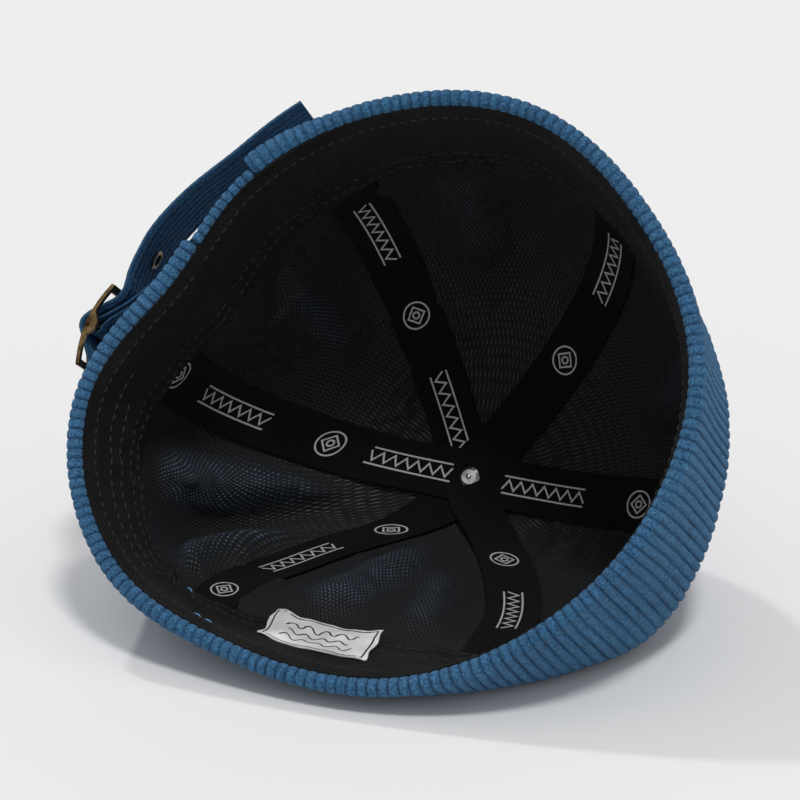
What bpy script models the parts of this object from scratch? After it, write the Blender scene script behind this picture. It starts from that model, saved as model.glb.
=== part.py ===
"""Corduroy docker cap: six-panel crown, turned-up cuff, lining, sweatband and a buckled rear strap.

The cap lies on the flattened side of its crown. Its opening faces -Y and up, and the floor is z = 0.
Lengths are in millimetres up to the last step, which scales them to metres.

The cap's body is one reference surface, the outside of the crown. A place on it has an angle round the
rim and a height line: 0 at the rim, 1 where the dome starts, 2 at the crown's centre. Each layer is that
surface moved inwards along its normal by a depth, so that nested layers keep their gaps.
"""

import math

import bmesh
import bpy
from mathutils import Matrix, Vector

MM = 0.001
COLLECTION = "corduroy_docker_cap"

# pose: the way that the opening faces, and the height of the rim's centre over the floor
OPENING_ELEVATION = 36.0
OPENING_AZIMUTH = 18.0
RIM_CENTRE = Vector((-7.13, -21.49, 84.0))
FLOOR_BLEND = 9.0

# the crown: rim radius at every 30 degrees, anticlockwise as the opening is seen
RIM_RADII = (101.0, 98.5, 99.0, 91.5, 84.5, 79.5, 97.5, 101.5, 94.0, 95.0, 95.5, 98.5)
WALL_HEIGHT = 48.0
CROWN_DEPTH = 108.0
DOME_POWER = 2.2
SIDE_BULGE = -0.033
LOWER_BULGE = 0.092
LOWER_BULGE_ANGLE = 312.0
CROWN_SAG = (6.0, -7.0)

PANELS = 6
FIRST_SEAM = 45.0
PANEL_ANGLE = 360.0 / PANELS
PANEL_STEPS = 6
STEP_ANGLE = PANEL_ANGLE / PANEL_STEPS
PANEL_GAP = 0.5
CENTRE_HOLE_RADIUS = 3.4

# layers, as depths under the crown's outside; negative ones lie outside it
CROWN_CLOTH = 1.0
LINING_DEPTH = 1.5
LINING_CLOTH = 0.4
TAPE_DEPTH = 2.8
TAPE_CLOTH = 0.4
TAPE_WIDTH = 19.0
SWEATBAND_DEPTH = 3.9
SWEATBAND_CLOTH = 0.7
SWEATBAND_HEIGHT = 38.0
LABEL_DEPTH = 5.0
LABEL_CLOTH = 0.4
CUFF_DEPTH = -3.1
CUFF_CLOTH = 1.0
TUCK_DEPTH = 2.4
TUCK_HEIGHT = 6.0
FACING_DEPTH = -1.1
FACING_CLOTH = 0.65
INTERLINING_DEPTH = -1.75
INTERLINING_CLOTH = 0.3
BINDING_DEPTH = -1.35
BINDING_HEIGHT = 6.0

# heights of the grid lines up the wall, and dome angles of those over the dome
WALL_LINES = (6.0, 14.0, 26.0, 38.0, 48.0)
PANEL_START = 1.5
DOME_ANGLES = (14.0, 28.0, 42.0, 55.0, 67.0, 77.0, 84.0)
LINING_START = 10.0

# the gap of the cuff at the back, and the label's place on the sweatband
CUFF_LEFT_END = 140.0
CUFF_RIGHT_END = 119.0
END_GAP = 0.4
SWEATBAND_JOINT = 145.0
LABEL_ANGLES = (243.0, 248.5, 254.0, 259.5, 265.0)
LABEL_HEIGHTS = (14.0, 26.0, 36.0)

# the rear strap: its own axes run along the strap, outwards and towards the opening
STRAP_ANGLE = 145.0
STRAP_TILT = 4.0
STRAP_PIVOT_OUT = 90.0
STRAP_NEAR_EDGE = -12.0
STRAP_WIDTH = 29.0
STRAP_CLOTH = 2.6
TAB_CLOTH = 1.3

# the buckle: its chord's middle along the strap and outwards, and the chord's slope
BUCKLE_ALONG = -32.0
BUCKLE_OUT = 96.75
BUCKLE_SLOPE = 10.5
BUCKLE_HALF_LENGTH = 14.5
BUCKLE_ARCH = 2.8
BUCKLE_PLATE = 1.2
BUCKLE_INNER_WIDTH = 31.0
BUCKLE_OUTER_WIDTH = 35.6
BUCKLE_END_BAR = 2.4
BAR_HEIGHT = 0.4
BAR_RADIUS = 1.2
LUG_HALF_LENGTH = 5.0
PRONG_RADIUS = 0.7
TAB_SLOT = 7.6

# strap routes, seen from its edge, as distances from the buckle: along its chord and outwards
BAND_ROUTE = (
    (-25.5, -5.2), (-20.0, -4.1), (-15.0, -3.4), (-11.0, -2.4), (-7.6, 0.2), (-4.1, 2.95), (-0.8, 5.4),
    (2.0, 5.0), (5.0, 2.9), (8.5, -0.2), (11.5, -2.5), (15.0, -3.4), (17.5, -3.2),
)
TAIL_ROUTE = (
    (17.5, -3.2), (21.5, -2.5), (28.0, -2.4), (37.8, -3.7), (53.4, -9.3), (71.7, -19.5), (84.8, -26.7),
    (94.0, -32.9),
)
TAB_OUTER_LEG = (
    (64.4, -29.2), (59.2, -27.2), (51.0, -23.6), (43.3, -20.2), (37.7, -17.4), (22.1, -12.4), (11.8, -6.9),
    (8.0, -3.9), (4.4, -0.9),
)
TAB_INNER_LEG = ((4.2, -3.4), (8.0, -6.3), (11.8, -9.1), (15.5, -11.4))
TAB_LOOP_RADIUS = 2.15
PRONG_ROUTE = (
    (-2.9, 1.5), (-4.1, 3.1), (-5.1, 4.5), (-6.3, 5.0), (-8.5, 4.3), (-12.0, 2.6), (-13.5, 1.75), (-15.2, 0.9),
)

EYELET_HOLE = 2.1
EYELET_BARREL = 2.6
EYELET_FLANGE = 3.4
EYELET_METAL = 0.4
EYELET_IN_USE = -4.1
EYELET_SPARE = 29.7
FIT_GAP = 0.3

BUTTON_RADIUS = 6.0
BUTTON_HEIGHT = 4.0
RIVET_RADIUS = 3.75
RIVET_POST = 1.6
RIVET_DEPTH = 3.6

BLUE = (0.045, 0.135, 0.32)
COLOURS = {
    "corduroy": (BLUE, 0.9, 0.0),
    "mesh_lining": ((0.012, 0.018, 0.035), 0.6, 0.0),
    "seam_tape": ((0.006, 0.006, 0.007), 0.7, 0.0),
    "sweatband_twill": ((0.008, 0.008, 0.010), 0.85, 0.0),
    "interlining_felt": ((0.25, 0.26, 0.28), 0.95, 0.0),
    "label_satin": ((0.75, 0.75, 0.73), 0.6, 0.0),
    "antique_brass": ((0.32, 0.20, 0.075), 0.35, 1.0),
    "dark_eyelet": ((0.16, 0.12, 0.08), 0.4, 1.0),
    "rivet_steel": ((0.55, 0.55, 0.54), 0.28, 1.0),
}


# ---------------------------------------------------------------- scene set-up


def clear_scene():
    for item in list(bpy.data.objects):
        bpy.data.objects.remove(item, do_unlink=True)


def make_collection(name):
    collection = bpy.data.collections.new(name)
    bpy.context.scene.collection.children.link(collection)
    return collection


def make_material(name):
    colour, roughness, metallic = COLOURS[name]
    material = bpy.data.materials.new(name)
    material.use_nodes = True
    shader = material.node_tree.nodes["Principled BSDF"]
    shader.inputs["Base Color"].default_value = (*colour, 1.0)
    shader.inputs["Roughness"].default_value = roughness
    shader.inputs["Metallic"].default_value = metallic
    material.diffuse_color = (*colour, 1.0)
    return material


clear_scene()
PARTS = make_collection(COLLECTION)
CUTTERS = make_collection("cutters")
MATERIALS = {name: make_material(name) for name in COLOURS}


def add_object(name, data, material, collection=None):
    item = bpy.data.objects.new(name, data)
    (collection or PARTS).objects.link(item)
    if material:
        data.materials.append(MATERIALS[material])
    return item


def add_empty(name, place):
    empty = bpy.data.objects.new(name, None)
    PARTS.objects.link(empty)
    empty.location = place
    return empty


def shade_round(item, angle=40.0):
    item.data.shade_smooth()
    item.data.set_sharp_from_angle(angle=math.radians(angle))


def hang_on(item, empty):
    """Parents an item to an empty on its joint's axis, leaving it where it is."""
    bpy.context.view_layer.update()
    item.parent = empty
    item.matrix_parent_inverse = empty.matrix_world.inverted()


# ---------------------------------------------------------------- the crown's reference surface


def opening_axes():
    """Across the rim, up the rim, and out of the opening."""
    elevation = math.radians(OPENING_ELEVATION)
    azimuth = math.radians(OPENING_AZIMUTH)
    out = Vector((
        -math.sin(azimuth) * math.cos(elevation),
        -math.cos(azimuth) * math.cos(elevation),
        math.sin(elevation),
    ))
    across = (Vector((1.0, 0.0, 0.0)) - out * out.x).normalized()
    return across, out.cross(across), out


ACROSS, UP_RIM, OUT = opening_axes()


def catmull(a, b, c, d, t):
    return 0.5 * (2 * b + (c - a) * t + (2 * a - 5 * b + 4 * c - d) * t**2 + (3 * b - a - 3 * c + d) * t**3)


def rim_radius(angle):
    place = (angle % 360.0) / 30.0
    first = int(place)
    near = [RIM_RADII[(first + step) % len(RIM_RADII)] for step in (-1, 0, 1, 2)]
    return catmull(*near, place - first)


def bulge(angle):
    towards = max(0.0, math.cos(math.radians(angle - LOWER_BULGE_ANGLE)))
    return SIDE_BULGE + LOWER_BULGE * towards**4


def height_line(height):
    return height / WALL_HEIGHT


def dome_line(dome_angle):
    return 1.0 + dome_angle / 90.0


def profile(angle, line):
    """Share of the rim's radius, and distance from the rim's plane, at a height line."""
    swell = bulge(angle)
    if line <= 1.0:
        return 1.0 + swell * (1.0 - (1.0 - line) ** 2), line * WALL_HEIGHT
    dome = math.radians(90.0) * (line - 1.0)
    power = 2.0 / DOME_POWER
    share = (1.0 + swell) * max(0.0, math.cos(dome)) ** power
    return share, WALL_HEIGHT + (CROWN_DEPTH - WALL_HEIGHT) * math.sin(dome) ** power


def smooth_step(value):
    value = min(1.0, max(0.0, value))
    return value * value * (3.0 - 2.0 * value)


def floor_under_crown(line):
    """How far the crown's outside stays over the floor: the cuff's thickness, then nothing."""
    return -CUFF_DEPTH * smooth_step((1.42 - line) / 0.38)


def rest_on(height, floor):
    """Keeps a height over the floor, with a smooth turn between the two."""
    over = height - floor
    if over >= FLOOR_BLEND:
        return height
    if over <= -FLOOR_BLEND:
        return floor
    return floor + (over + FLOOR_BLEND) ** 2 / (4.0 * FLOOR_BLEND)


def sag_at(depth):
    """How far the lying crown has sunk sideways, across the rim and up it, at a depth."""
    share = (depth / CROWN_DEPTH) ** 2
    return CROWN_SAG[0] * share, CROWN_SAG[1] * share


def crown_point(angle, line):
    share, depth = profile(angle, line)
    radius = rim_radius(angle) * share
    turn = math.radians(angle)
    across = radius * math.cos(turn) + sag_at(depth)[0]
    up_rim = radius * math.sin(turn) + sag_at(depth)[1]
    place = RIM_CENTRE + ACROSS * across + UP_RIM * up_rim - OUT * depth
    place.z = rest_on(place.z, floor_under_crown(line))
    return place


def inward_normal(angle, line):
    small = 0.02
    along = crown_point(angle + 1.0, line) - crown_point(angle - 1.0, line)
    up = crown_point(angle, line + small) - crown_point(angle, line - small)
    return along.cross(up).normalized()


def layer_point(angle, line, depth):
    return crown_point(angle, line) + inward_normal(angle, line) * depth


def grid_cell(value, marks):
    """The two marks on either side of a value, and its share of the way between them."""
    for low, high in zip(marks, marks[1:]):
        if low <= value <= high:
            return low, high, (value - low) / (high - low)
    return value, value, 0.0


def facet_point(angle, line, depth):
    """A layer's point where the flat facets of the panels' common grid put it."""
    steps = (angle - FIRST_SEAM) / STEP_ANGLE
    left = FIRST_SEAM + math.floor(steps) * STEP_ANGLE
    side = steps - math.floor(steps)
    low, high, rise = grid_cell(line, GRID_LINES)
    edges = [
        layer_point(place, low, depth).lerp(layer_point(place, high, depth), rise)
        for place in (left, left + STEP_ANGLE)
    ]
    return edges[0].lerp(edges[1], side)


GRID_LINES = [height_line(height) for height in (0.0, *WALL_LINES)]
GRID_LINES += [dome_line(dome_angle) for dome_angle in DOME_ANGLES]


def hole_line(angle):
    """The height line at which the crown is as wide as its centre hole."""
    share = CENTRE_HOLE_RADIUS / (rim_radius(angle) * (1.0 + bulge(angle)))
    return dome_line(math.degrees(math.acos(share ** (DOME_POWER / 2.0))))


def crown_lines(angle, first_height):
    heights = [first_height] + [height for height in WALL_LINES if height > first_height]
    lines = [height_line(height) for height in heights]
    lines += [dome_line(dome_angle) for dome_angle in DOME_ANGLES]
    return lines + [hole_line(angle)]


# ---------------------------------------------------------------- cloth pieces on that surface


def cloth_grid(name, columns, rows, place, thickness, material):
    """An open grid whose points are place(column, row), the middle of a cloth's thickness.

    The columns run against the grid's X, which turns its faces outwards.
    """
    shape = bmesh.new()
    bmesh.ops.create_grid(shape, x_segments=columns - 1, y_segments=rows - 1, size=0.5)
    for point in shape.verts:
        column = round((0.5 - point.co.x) * (columns - 1))
        row = round((point.co.y + 0.5) * (rows - 1))
        point.co = place(column, row) * MM
    mesh = bpy.data.meshes.new(name)
    shape.to_mesh(mesh)
    shape.free()
    item = add_object(name, mesh, material)
    solid = item.modifiers.new("cloth", "SOLIDIFY")
    solid.thickness = thickness * MM
    solid.offset = 0.0
    solid.use_even_offset = True
    shade_round(item, 60.0)
    return item


def panel_angles(number, line):
    """Angles across one panel, pulled in by half the gap at each seam."""
    start = FIRST_SEAM + number * PANEL_ANGLE
    share, _ = profile(start, line)
    trim = math.degrees(0.5 * PANEL_GAP / max(CENTRE_HOLE_RADIUS, rim_radius(start) * share))
    angles = [start + step * STEP_ANGLE for step in range(PANEL_STEPS + 1)]
    angles[0] += trim
    angles[-1] -= trim
    return angles


def crown_cloth(name, number, first_height, depth, thickness, material):
    rows = len(crown_lines(0.0, first_height))

    def place(column, row):
        nominal = FIRST_SEAM + number * PANEL_ANGLE + column * STEP_ANGLE
        line = crown_lines(nominal, first_height)[row]
        return facet_point(panel_angles(number, line)[column], line, depth + 0.5 * thickness)

    return cloth_grid(name, PANEL_STEPS + 1, rows, place, thickness, material)


def make_crown_panels():
    for number in range(PANELS):
        crown_cloth(f"crown_panel_{number + 1}", number, PANEL_START, 0.0, CROWN_CLOTH, "corduroy")


def make_lining_panels():
    for number in range(PANELS):
        name = f"lining_panel_{number + 1}"
        crown_cloth(name, number, LINING_START, LINING_DEPTH, LINING_CLOTH, "mesh_lining")


def make_seam_tapes():
    for number in range(PANELS):
        seam = FIRST_SEAM + number * PANEL_ANGLE
        lines = crown_lines(seam, LINING_START)

        def place(column, row, seam=seam, lines=lines):
            share, _ = profile(seam, lines[row])
            radius = rim_radius(seam) * share
            half = math.degrees(0.5 * TAPE_WIDTH / radius)
            widest = 0.5 * PANEL_ANGLE - math.degrees(PANEL_GAP / radius)
            angle = seam + (column - 1) * min(half, widest)
            return facet_point(angle, lines[row], TAPE_DEPTH + 0.5 * TAPE_CLOTH)

        cloth_grid(f"seam_tape_{number + 1}", 3, len(lines), place, TAPE_CLOTH, "seam_tape")


def ring_angles(start, end):
    """The start, every panel grid angle between, and the end."""
    first = math.ceil((start - FIRST_SEAM + 1.0) / STEP_ANGLE)
    last = math.floor((end - FIRST_SEAM - 1.0) / STEP_ANGLE)
    return [start] + [FIRST_SEAM + step * STEP_ANGLE for step in range(first, last + 1)] + [end]


def fold_profile(inner_depth, outer_depth, outer_heights):
    """Height and depth of the cloth's middle, down the inside, round the rim's edge and up the outside."""
    inner_depth -= 0.5 * CUFF_CLOTH
    outer_depth += 0.5 * CUFF_CLOTH
    radius = 0.5 * (inner_depth - outer_depth)
    middle = 0.5 * (inner_depth + outer_depth)
    points = [(TUCK_HEIGHT, inner_depth), (0.5 * TUCK_HEIGHT, inner_depth)]
    for turn in (0.0, 45.0, 90.0, 135.0, 180.0):
        around = math.radians(turn)
        points.append((-radius * math.sin(around), middle + radius * math.cos(around)))
    return points + [(height, outer_depth) for height in outer_heights]


def make_fold(name, start, end, points, thickness, material):
    angles = ring_angles(start, end)

    def place(column, row):
        height, depth = points[row]
        return facet_point(angles[column], height_line(height), depth)

    return cloth_grid(name, len(angles), len(points), place, thickness, material)


def make_wall(name, start, end, heights, depth, thickness, material):
    points = [(height, depth + 0.5 * thickness) for height in heights]
    return make_fold(name, start, end, points, thickness, material)


def make_cuff():
    start = CUFF_LEFT_END
    end = CUFF_RIGHT_END + 360.0
    outside = fold_profile(TUCK_DEPTH, CUFF_DEPTH, WALL_LINES)
    make_fold("cuff_shell", start, end, outside, CUFF_CLOTH, "corduroy")
    inside = (PANEL_START, *WALL_LINES)
    make_wall("cuff_facing", start, end, inside, FACING_DEPTH, FACING_CLOTH, "corduroy")
    felt_depth = INTERLINING_DEPTH
    make_wall("cuff_interlining", start, end, inside, felt_depth, INTERLINING_CLOTH, "interlining_felt")


def make_rear_binding():
    trim = math.degrees(END_GAP / rim_radius(CUFF_LEFT_END))
    outside = fold_profile(TUCK_DEPTH, BINDING_DEPTH, (BINDING_HEIGHT,))
    make_fold("rear_binding", CUFF_RIGHT_END + trim, CUFF_LEFT_END - trim, outside, CUFF_CLOTH, "corduroy")


def make_sweatband():
    trim = math.degrees(END_GAP / rim_radius(SWEATBAND_JOINT))
    heights = (0.5, 6.0, 14.0, 26.0, SWEATBAND_HEIGHT)
    start = SWEATBAND_JOINT + trim
    end = SWEATBAND_JOINT + 360.0 - trim
    make_wall("sweatband", start, end, heights, SWEATBAND_DEPTH, SWEATBAND_CLOTH, "sweatband_twill")


def make_label():
    def place(column, row):
        line = height_line(LABEL_HEIGHTS[row])
        return facet_point(LABEL_ANGLES[column], line, LABEL_DEPTH + 0.5 * LABEL_CLOTH)

    cloth_grid("woven_label", len(LABEL_ANGLES), len(LABEL_HEIGHTS), place, LABEL_CLOTH, "label_satin")


# ---------------------------------------------------------------- the rear strap and its buckle


def strap_axes():
    """Along the strap, outwards from the cap, and towards the opening, tilted like the cuff's wall."""
    turn = math.radians(STRAP_ANGLE)
    tilt = math.radians(STRAP_TILT)
    along = ACROSS * math.sin(turn) - UP_RIM * math.cos(turn)
    radial = ACROSS * math.cos(turn) + UP_RIM * math.sin(turn)
    outward = radial * math.cos(tilt) + OUT * math.sin(tilt)
    return along, outward, OUT * math.cos(tilt) - radial * math.sin(tilt), radial


ALONG, OUTWARD, EDGEWARD, RADIAL = strap_axes()


def buckle_axes():
    slope = math.radians(BUCKLE_SLOPE)
    chord = ALONG * math.cos(slope) + OUTWARD * math.sin(slope)
    return chord, OUTWARD * math.cos(slope) - ALONG * math.sin(slope)


CHORD, LIFT = buckle_axes()


def buckle_place(along, lift, across=0.0):
    """A point by its distance along the buckle's chord, over it, and from the strap's middle line."""
    base = RIM_CENTRE + RADIAL * STRAP_PIVOT_OUT + OUT * STRAP_NEAR_EDGE
    middle = base + ALONG * BUCKLE_ALONG + OUTWARD * (BUCKLE_OUT - STRAP_PIVOT_OUT)
    middle -= EDGEWARD * 0.5 * STRAP_WIDTH
    return middle + CHORD * along + LIFT * lift + EDGEWARD * across


def buckle_matrix(along=0.0, lift=0.0, slope=0.0):
    """Object axes: X along the buckle's chord turned by a slope, Y outwards, Z towards the opening."""
    turn = math.radians(slope)
    first = CHORD * math.cos(turn) + LIFT * math.sin(turn)
    second = LIFT * math.cos(turn) - CHORD * math.sin(turn)
    matrix = Matrix((first, second, EDGEWARD)).transposed().to_4x4()
    matrix.translation = buckle_place(along, lift) * MM
    return matrix


def smooth_route(points, steps):
    """A Catmull-Rom curve through flat points."""
    ends = [Vector(point) for point in points]
    ends = [2 * ends[0] - ends[1]] + ends + [2 * ends[-1] - ends[-2]]
    route = []
    for first in range(len(ends) - 3):
        for step in range(steps):
            route.append(catmull(*ends[first:first + 4], step / steps))
    return route + [ends[-2]]


def ribbon(name, route, cloth, material):
    """A strip of the strap's width whose middle follows a flat route."""
    def place(column, row):
        return buckle_place(route[column].x, route[column].y, (row - 0.5) * STRAP_WIDTH)

    return cloth_grid(name, len(route), 2, place, cloth, material)


def loop_points(radius, start, end, count):
    points = []
    for step in range(count):
        turn = math.radians(start + (end - start) * step / (count - 1))
        points.append(Vector((radius * math.cos(turn), BAR_HEIGHT + radius * math.sin(turn))))
    return points


def drill(item, along, lift, slope, radius, depth):
    """Cuts a round hole through a strap, square to it."""
    bpy.ops.mesh.primitive_cylinder_add(vertices=16, radius=radius * MM, depth=depth * MM)
    cutter = take_cutter(f"{item.name}_hole")
    cutter.matrix_world = buckle_matrix(along, lift, slope) @ Matrix.Rotation(math.radians(90.0), 4, "X")
    use_cutter(item, cutter, "DIFFERENCE")


def take_cutter(name):
    """Names the solid that was just made, and moves it to the cutters' collection."""
    cutter = bpy.context.object
    cutter.name = name
    for collection in list(cutter.users_collection):
        collection.objects.unlink(cutter)
    CUTTERS.objects.link(cutter)
    return cutter


def use_cutter(item, cutter, operation):
    cutter.hide_render = True
    cutter.display_type = "WIRE"
    step = item.modifiers.new(cutter.name, "BOOLEAN")
    step.operation = operation
    step.object = cutter
    step.solver = "EXACT"


def route_place(route, along):
    """Where a route passes a distance along the buckle's chord: that distance, its lift and its slope."""
    for before, after in zip(route, route[1:]):
        if before.x <= along < after.x:
            run = after - before
            lift = before.y + run.y * (along - before.x) / run.x
            return along, lift, math.degrees(math.atan2(run.y, run.x))
    raise ValueError("the route does not pass there")


def make_strap():
    band_route = smooth_route(BAND_ROUTE, 2)
    tail_route = smooth_route(TAIL_ROUTE, 2)
    band = ribbon("strap_band", band_route, STRAP_CLOTH, "corduroy")
    start = tail_route[0] + (tail_route[1] - tail_route[0]).normalized() * END_GAP
    tail = ribbon("strap_tail", [start] + tail_route[1:], STRAP_CLOTH, "corduroy")
    hole = EYELET_BARREL + FIT_GAP
    in_use_place = route_place(band_route, EYELET_IN_USE)
    spare_place = route_place(tail_route, EYELET_SPARE)
    drill(band, *in_use_place, hole, 3.0 * STRAP_CLOTH)
    drill(tail, *spare_place, hole, 3.0 * STRAP_CLOTH)
    make_eyelet("eyelet_in_use", *in_use_place)
    spare = make_eyelet("eyelet_spare", *spare_place)
    hinge = tail_hinge_place()
    pivot = add_empty("strap_tail_axis", hinge * MM)
    hang_on(tail, pivot)
    hang_on(spare, pivot)


def tail_hinge_place():
    along, lift = TAIL_ROUTE[0]
    return buckle_place(along, lift + 0.5 * STRAP_CLOTH)


def turned(name, points, steps, material, closed=False):
    """A profile of radius and height, turned about Z."""
    mesh = bpy.data.meshes.new(name)
    edges = [(step, step + 1) for step in range(len(points) - 1)]
    if closed:
        edges.append((len(points) - 1, 0))
    mesh.from_pydata([(radius * MM, 0.0, height * MM) for radius, height in points], edges, [])
    item = add_object(name, mesh, material)
    screw = item.modifiers.new("turn", "SCREW")
    screw.steps = steps
    screw.render_steps = steps
    screw.use_merge_vertices = True
    screw.merge_threshold = 0.00001
    screw.use_smooth_shade = True
    return item


def make_eyelet(name, along, lift, slope):
    """A two-flanged metal ring, with the strap between its flanges."""
    reach = 0.5 * STRAP_CLOTH + FIT_GAP
    top = reach + EYELET_METAL
    points = (
        (EYELET_HOLE, top - 0.1), (EYELET_BARREL, top), (EYELET_FLANGE, reach + 0.1), (EYELET_FLANGE, reach),
        (EYELET_BARREL, reach), (EYELET_BARREL, -reach), (EYELET_FLANGE, -reach), (EYELET_FLANGE, -reach - 0.1),
        (EYELET_BARREL, -top), (EYELET_HOLE, 0.1 - top),
    )
    item = turned(name, points, 16, "dark_eyelet", closed=True)
    item.matrix_world = buckle_matrix(along, lift, slope) @ Matrix.Rotation(math.radians(-90.0), 4, "X")
    return item


def make_buckle_tab():
    turn = loop_points(TAB_LOOP_RADIUS, 40.0, 290.0, 9)
    outer = [Vector(point) for point in TAB_OUTER_LEG]
    inner = [Vector(point) for point in TAB_INNER_LEG]
    tab = ribbon("buckle_tab", outer + turn + inner, TAB_CLOTH, "corduroy")
    slot = box_cutter("tab_slot", (8.4, 8.4, TAB_SLOT), buckle_matrix(-0.9, BAR_HEIGHT))
    use_cutter(tab, slot, "DIFFERENCE")


def box_cutter(name, size, matrix):
    bpy.ops.mesh.primitive_cube_add(size=1.0)
    cutter = take_cutter(name)
    cutter.data.transform(Matrix.Diagonal((*(length * MM for length in size), 1.0)))
    cutter.matrix_world = matrix
    return cutter


def flat_outline(name, points, width, material, collection):
    """A closed outline in the buckle's XY plane, extruded across the strap, as a mesh."""
    curve = bpy.data.curves.new(name, "CURVE")
    curve.dimensions = "2D"
    curve.fill_mode = "BOTH"
    curve.extrude = 0.5 * width * MM
    spline = curve.splines.new("POLY")
    spline.points.add(len(points) - 1)
    for knot, (along, lift) in zip(spline.points, points):
        knot.co = (along * MM, lift * MM, 0.0, 1.0)
    spline.use_cyclic_u = True
    guide = bpy.data.objects.new(f"{name}_outline", curve)
    PARTS.objects.link(guide)
    bpy.context.view_layer.update()
    mesh = bpy.data.meshes.new_from_object(guide.evaluated_get(bpy.context.evaluated_depsgraph_get()))
    bpy.data.objects.remove(guide, do_unlink=True)
    shape = bmesh.new()
    shape.from_mesh(mesh)
    bmesh.ops.remove_doubles(shape, verts=shape.verts, dist=0.000001)
    bmesh.ops.recalc_face_normals(shape, faces=shape.faces)
    shape.to_mesh(mesh)
    shape.free()
    return add_object(name, mesh, material, collection)


def arch_height(along):
    return BUCKLE_ARCH * (1.0 - (along / BUCKLE_HALF_LENGTH) ** 2)


def make_buckle_frame():
    """An arched plate with an opening, and a bar across it on two triangular lugs."""
    steps = [BUCKLE_HALF_LENGTH * (step / 6.0 - 1.0) for step in range(13)]
    outer = [(along, arch_height(along)) for along in steps]
    inner = [(along, arch_height(along) - BUCKLE_PLATE) for along in reversed(steps)]
    frame = flat_outline("buckle_frame", outer + inner, BUCKLE_OUTER_WIDTH, "antique_brass", PARTS)
    frame.matrix_world = buckle_matrix()
    opening_length = 2.0 * (BUCKLE_HALF_LENGTH - BUCKLE_END_BAR)
    opening = box_cutter("buckle_opening", (opening_length, 20.0, BUCKLE_INNER_WIDTH), buckle_matrix())
    use_cutter(frame, opening, "DIFFERENCE")
    rail = 0.5 * (BUCKLE_OUTER_WIDTH - BUCKLE_INNER_WIDTH)
    lug = (
        (-LUG_HALF_LENGTH, arch_height(LUG_HALF_LENGTH) - 0.6), (-BAR_RADIUS, BAR_HEIGHT - BAR_RADIUS),
        (BAR_RADIUS, BAR_HEIGHT - BAR_RADIUS), (LUG_HALF_LENGTH, arch_height(LUG_HALF_LENGTH) - 0.6),
    )
    for name, side in (("near_lug", 1.0), ("far_lug", -1.0)):
        piece = flat_outline(name, lug, rail - 0.2, None, CUTTERS)
        offset = Matrix.Translation((0.0, 0.0, side * 0.5 * (BUCKLE_INNER_WIDTH + rail) * MM))
        piece.matrix_world = buckle_matrix() @ offset
        use_cutter(frame, piece, "UNION")
    bpy.ops.mesh.primitive_cylinder_add(
        vertices=12, radius=BAR_RADIUS * MM, depth=(BUCKLE_INNER_WIDTH + rail) * MM
    )
    bar = take_cutter("centre_bar")
    bar.matrix_world = buckle_matrix(0.0, BAR_HEIGHT)
    use_cutter(frame, bar, "UNION")
    return frame


def make_prong():
    """A bent wire hooked round the bar, up through the eyelet and down onto the end bar."""
    hook = loop_points(BAR_RADIUS + FIT_GAP + PRONG_RADIUS, 420.0, 180.0, 11)
    route = hook + smooth_route([hook[-1]] + [Vector(point) for point in PRONG_ROUTE], 2)[1:]
    curve = bpy.data.curves.new("buckle_prong", "CURVE")
    curve.dimensions = "3D"
    curve.bevel_depth = PRONG_RADIUS * MM
    curve.bevel_resolution = 2
    curve.use_fill_caps = True
    spline = curve.splines.new("POLY")
    spline.points.add(len(route) - 1)
    for knot, point in zip(spline.points, route):
        knot.co = (point.x * MM, point.y * MM, 0.0, 1.0)
    prong = add_object("buckle_prong", curve, "antique_brass")
    prong.matrix_world = buckle_matrix()
    return prong


def make_buckle():
    frame = make_buckle_frame()
    prong = make_prong()
    axis = add_empty("buckle_bar_axis", buckle_place(0.0, BAR_HEIGHT) * MM)
    hang_on(frame, axis)
    hang_on(prong, axis)


# ---------------------------------------------------------------- the button and its rivet


def crown_centre_matrix(depth):
    """Object axes at the crown's centre, with Z pointing out of the crown."""
    place = RIM_CENTRE + ACROSS * CROWN_SAG[0] + UP_RIM * CROWN_SAG[1] - OUT * (CROWN_DEPTH - depth)
    matrix = Matrix((ACROSS, -UP_RIM, -OUT)).transposed().to_4x4()
    matrix.translation = place * MM
    return matrix


def make_button():
    points = [(0.001, BUTTON_HEIGHT)]
    for turn in (25.0, 50.0, 70.0, 90.0):
        around = math.radians(turn)
        points.append((BUTTON_RADIUS * math.sin(around), 1.0 + (BUTTON_HEIGHT - 1.0) * math.cos(around)))
    points += [(BUTTON_RADIUS - 0.8, 0.0), (0.001, 0.0)]
    button = turned("crown_button", points, 20, "corduroy")
    button.matrix_world = crown_centre_matrix(-0.7)


def make_rivet():
    """A domed disc inside the crown, with a small tip, and a post that reaches the button."""
    post_end = RIVET_DEPTH + 0.3
    points = (
        (0.001, post_end), (RIVET_POST, post_end), (RIVET_POST, 0.0), (RIVET_RADIUS, 0.0),
        (RIVET_RADIUS, -0.4), (2.6, -1.0), (0.9, -1.3), (0.6, -1.8), (0.001, -2.0),
    )
    rivet = turned("button_rivet", points, 16, "rivet_steel")
    rivet.matrix_world = crown_centre_matrix(RIVET_DEPTH)


# ---------------------------------------------------------------- the whole cap

make_crown_panels()
make_lining_panels()
make_seam_tapes()
make_cuff()
make_rear_binding()
make_sweatband()
make_label()
make_strap()
make_buckle_tab()
make_buckle()
make_button()
make_rivet()
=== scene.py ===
"""Looks of a corduroy docker cap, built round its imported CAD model.

The cap is one reference surface, the crown's outside, by the angle round its rim and a height line: 0 at the
rim, 1 where the dome starts, 2 at the crown's centre. Each layer lies at a depth under it. Lengths are in
millimetres until a mesh is made.
"""
import functools
import math

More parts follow.
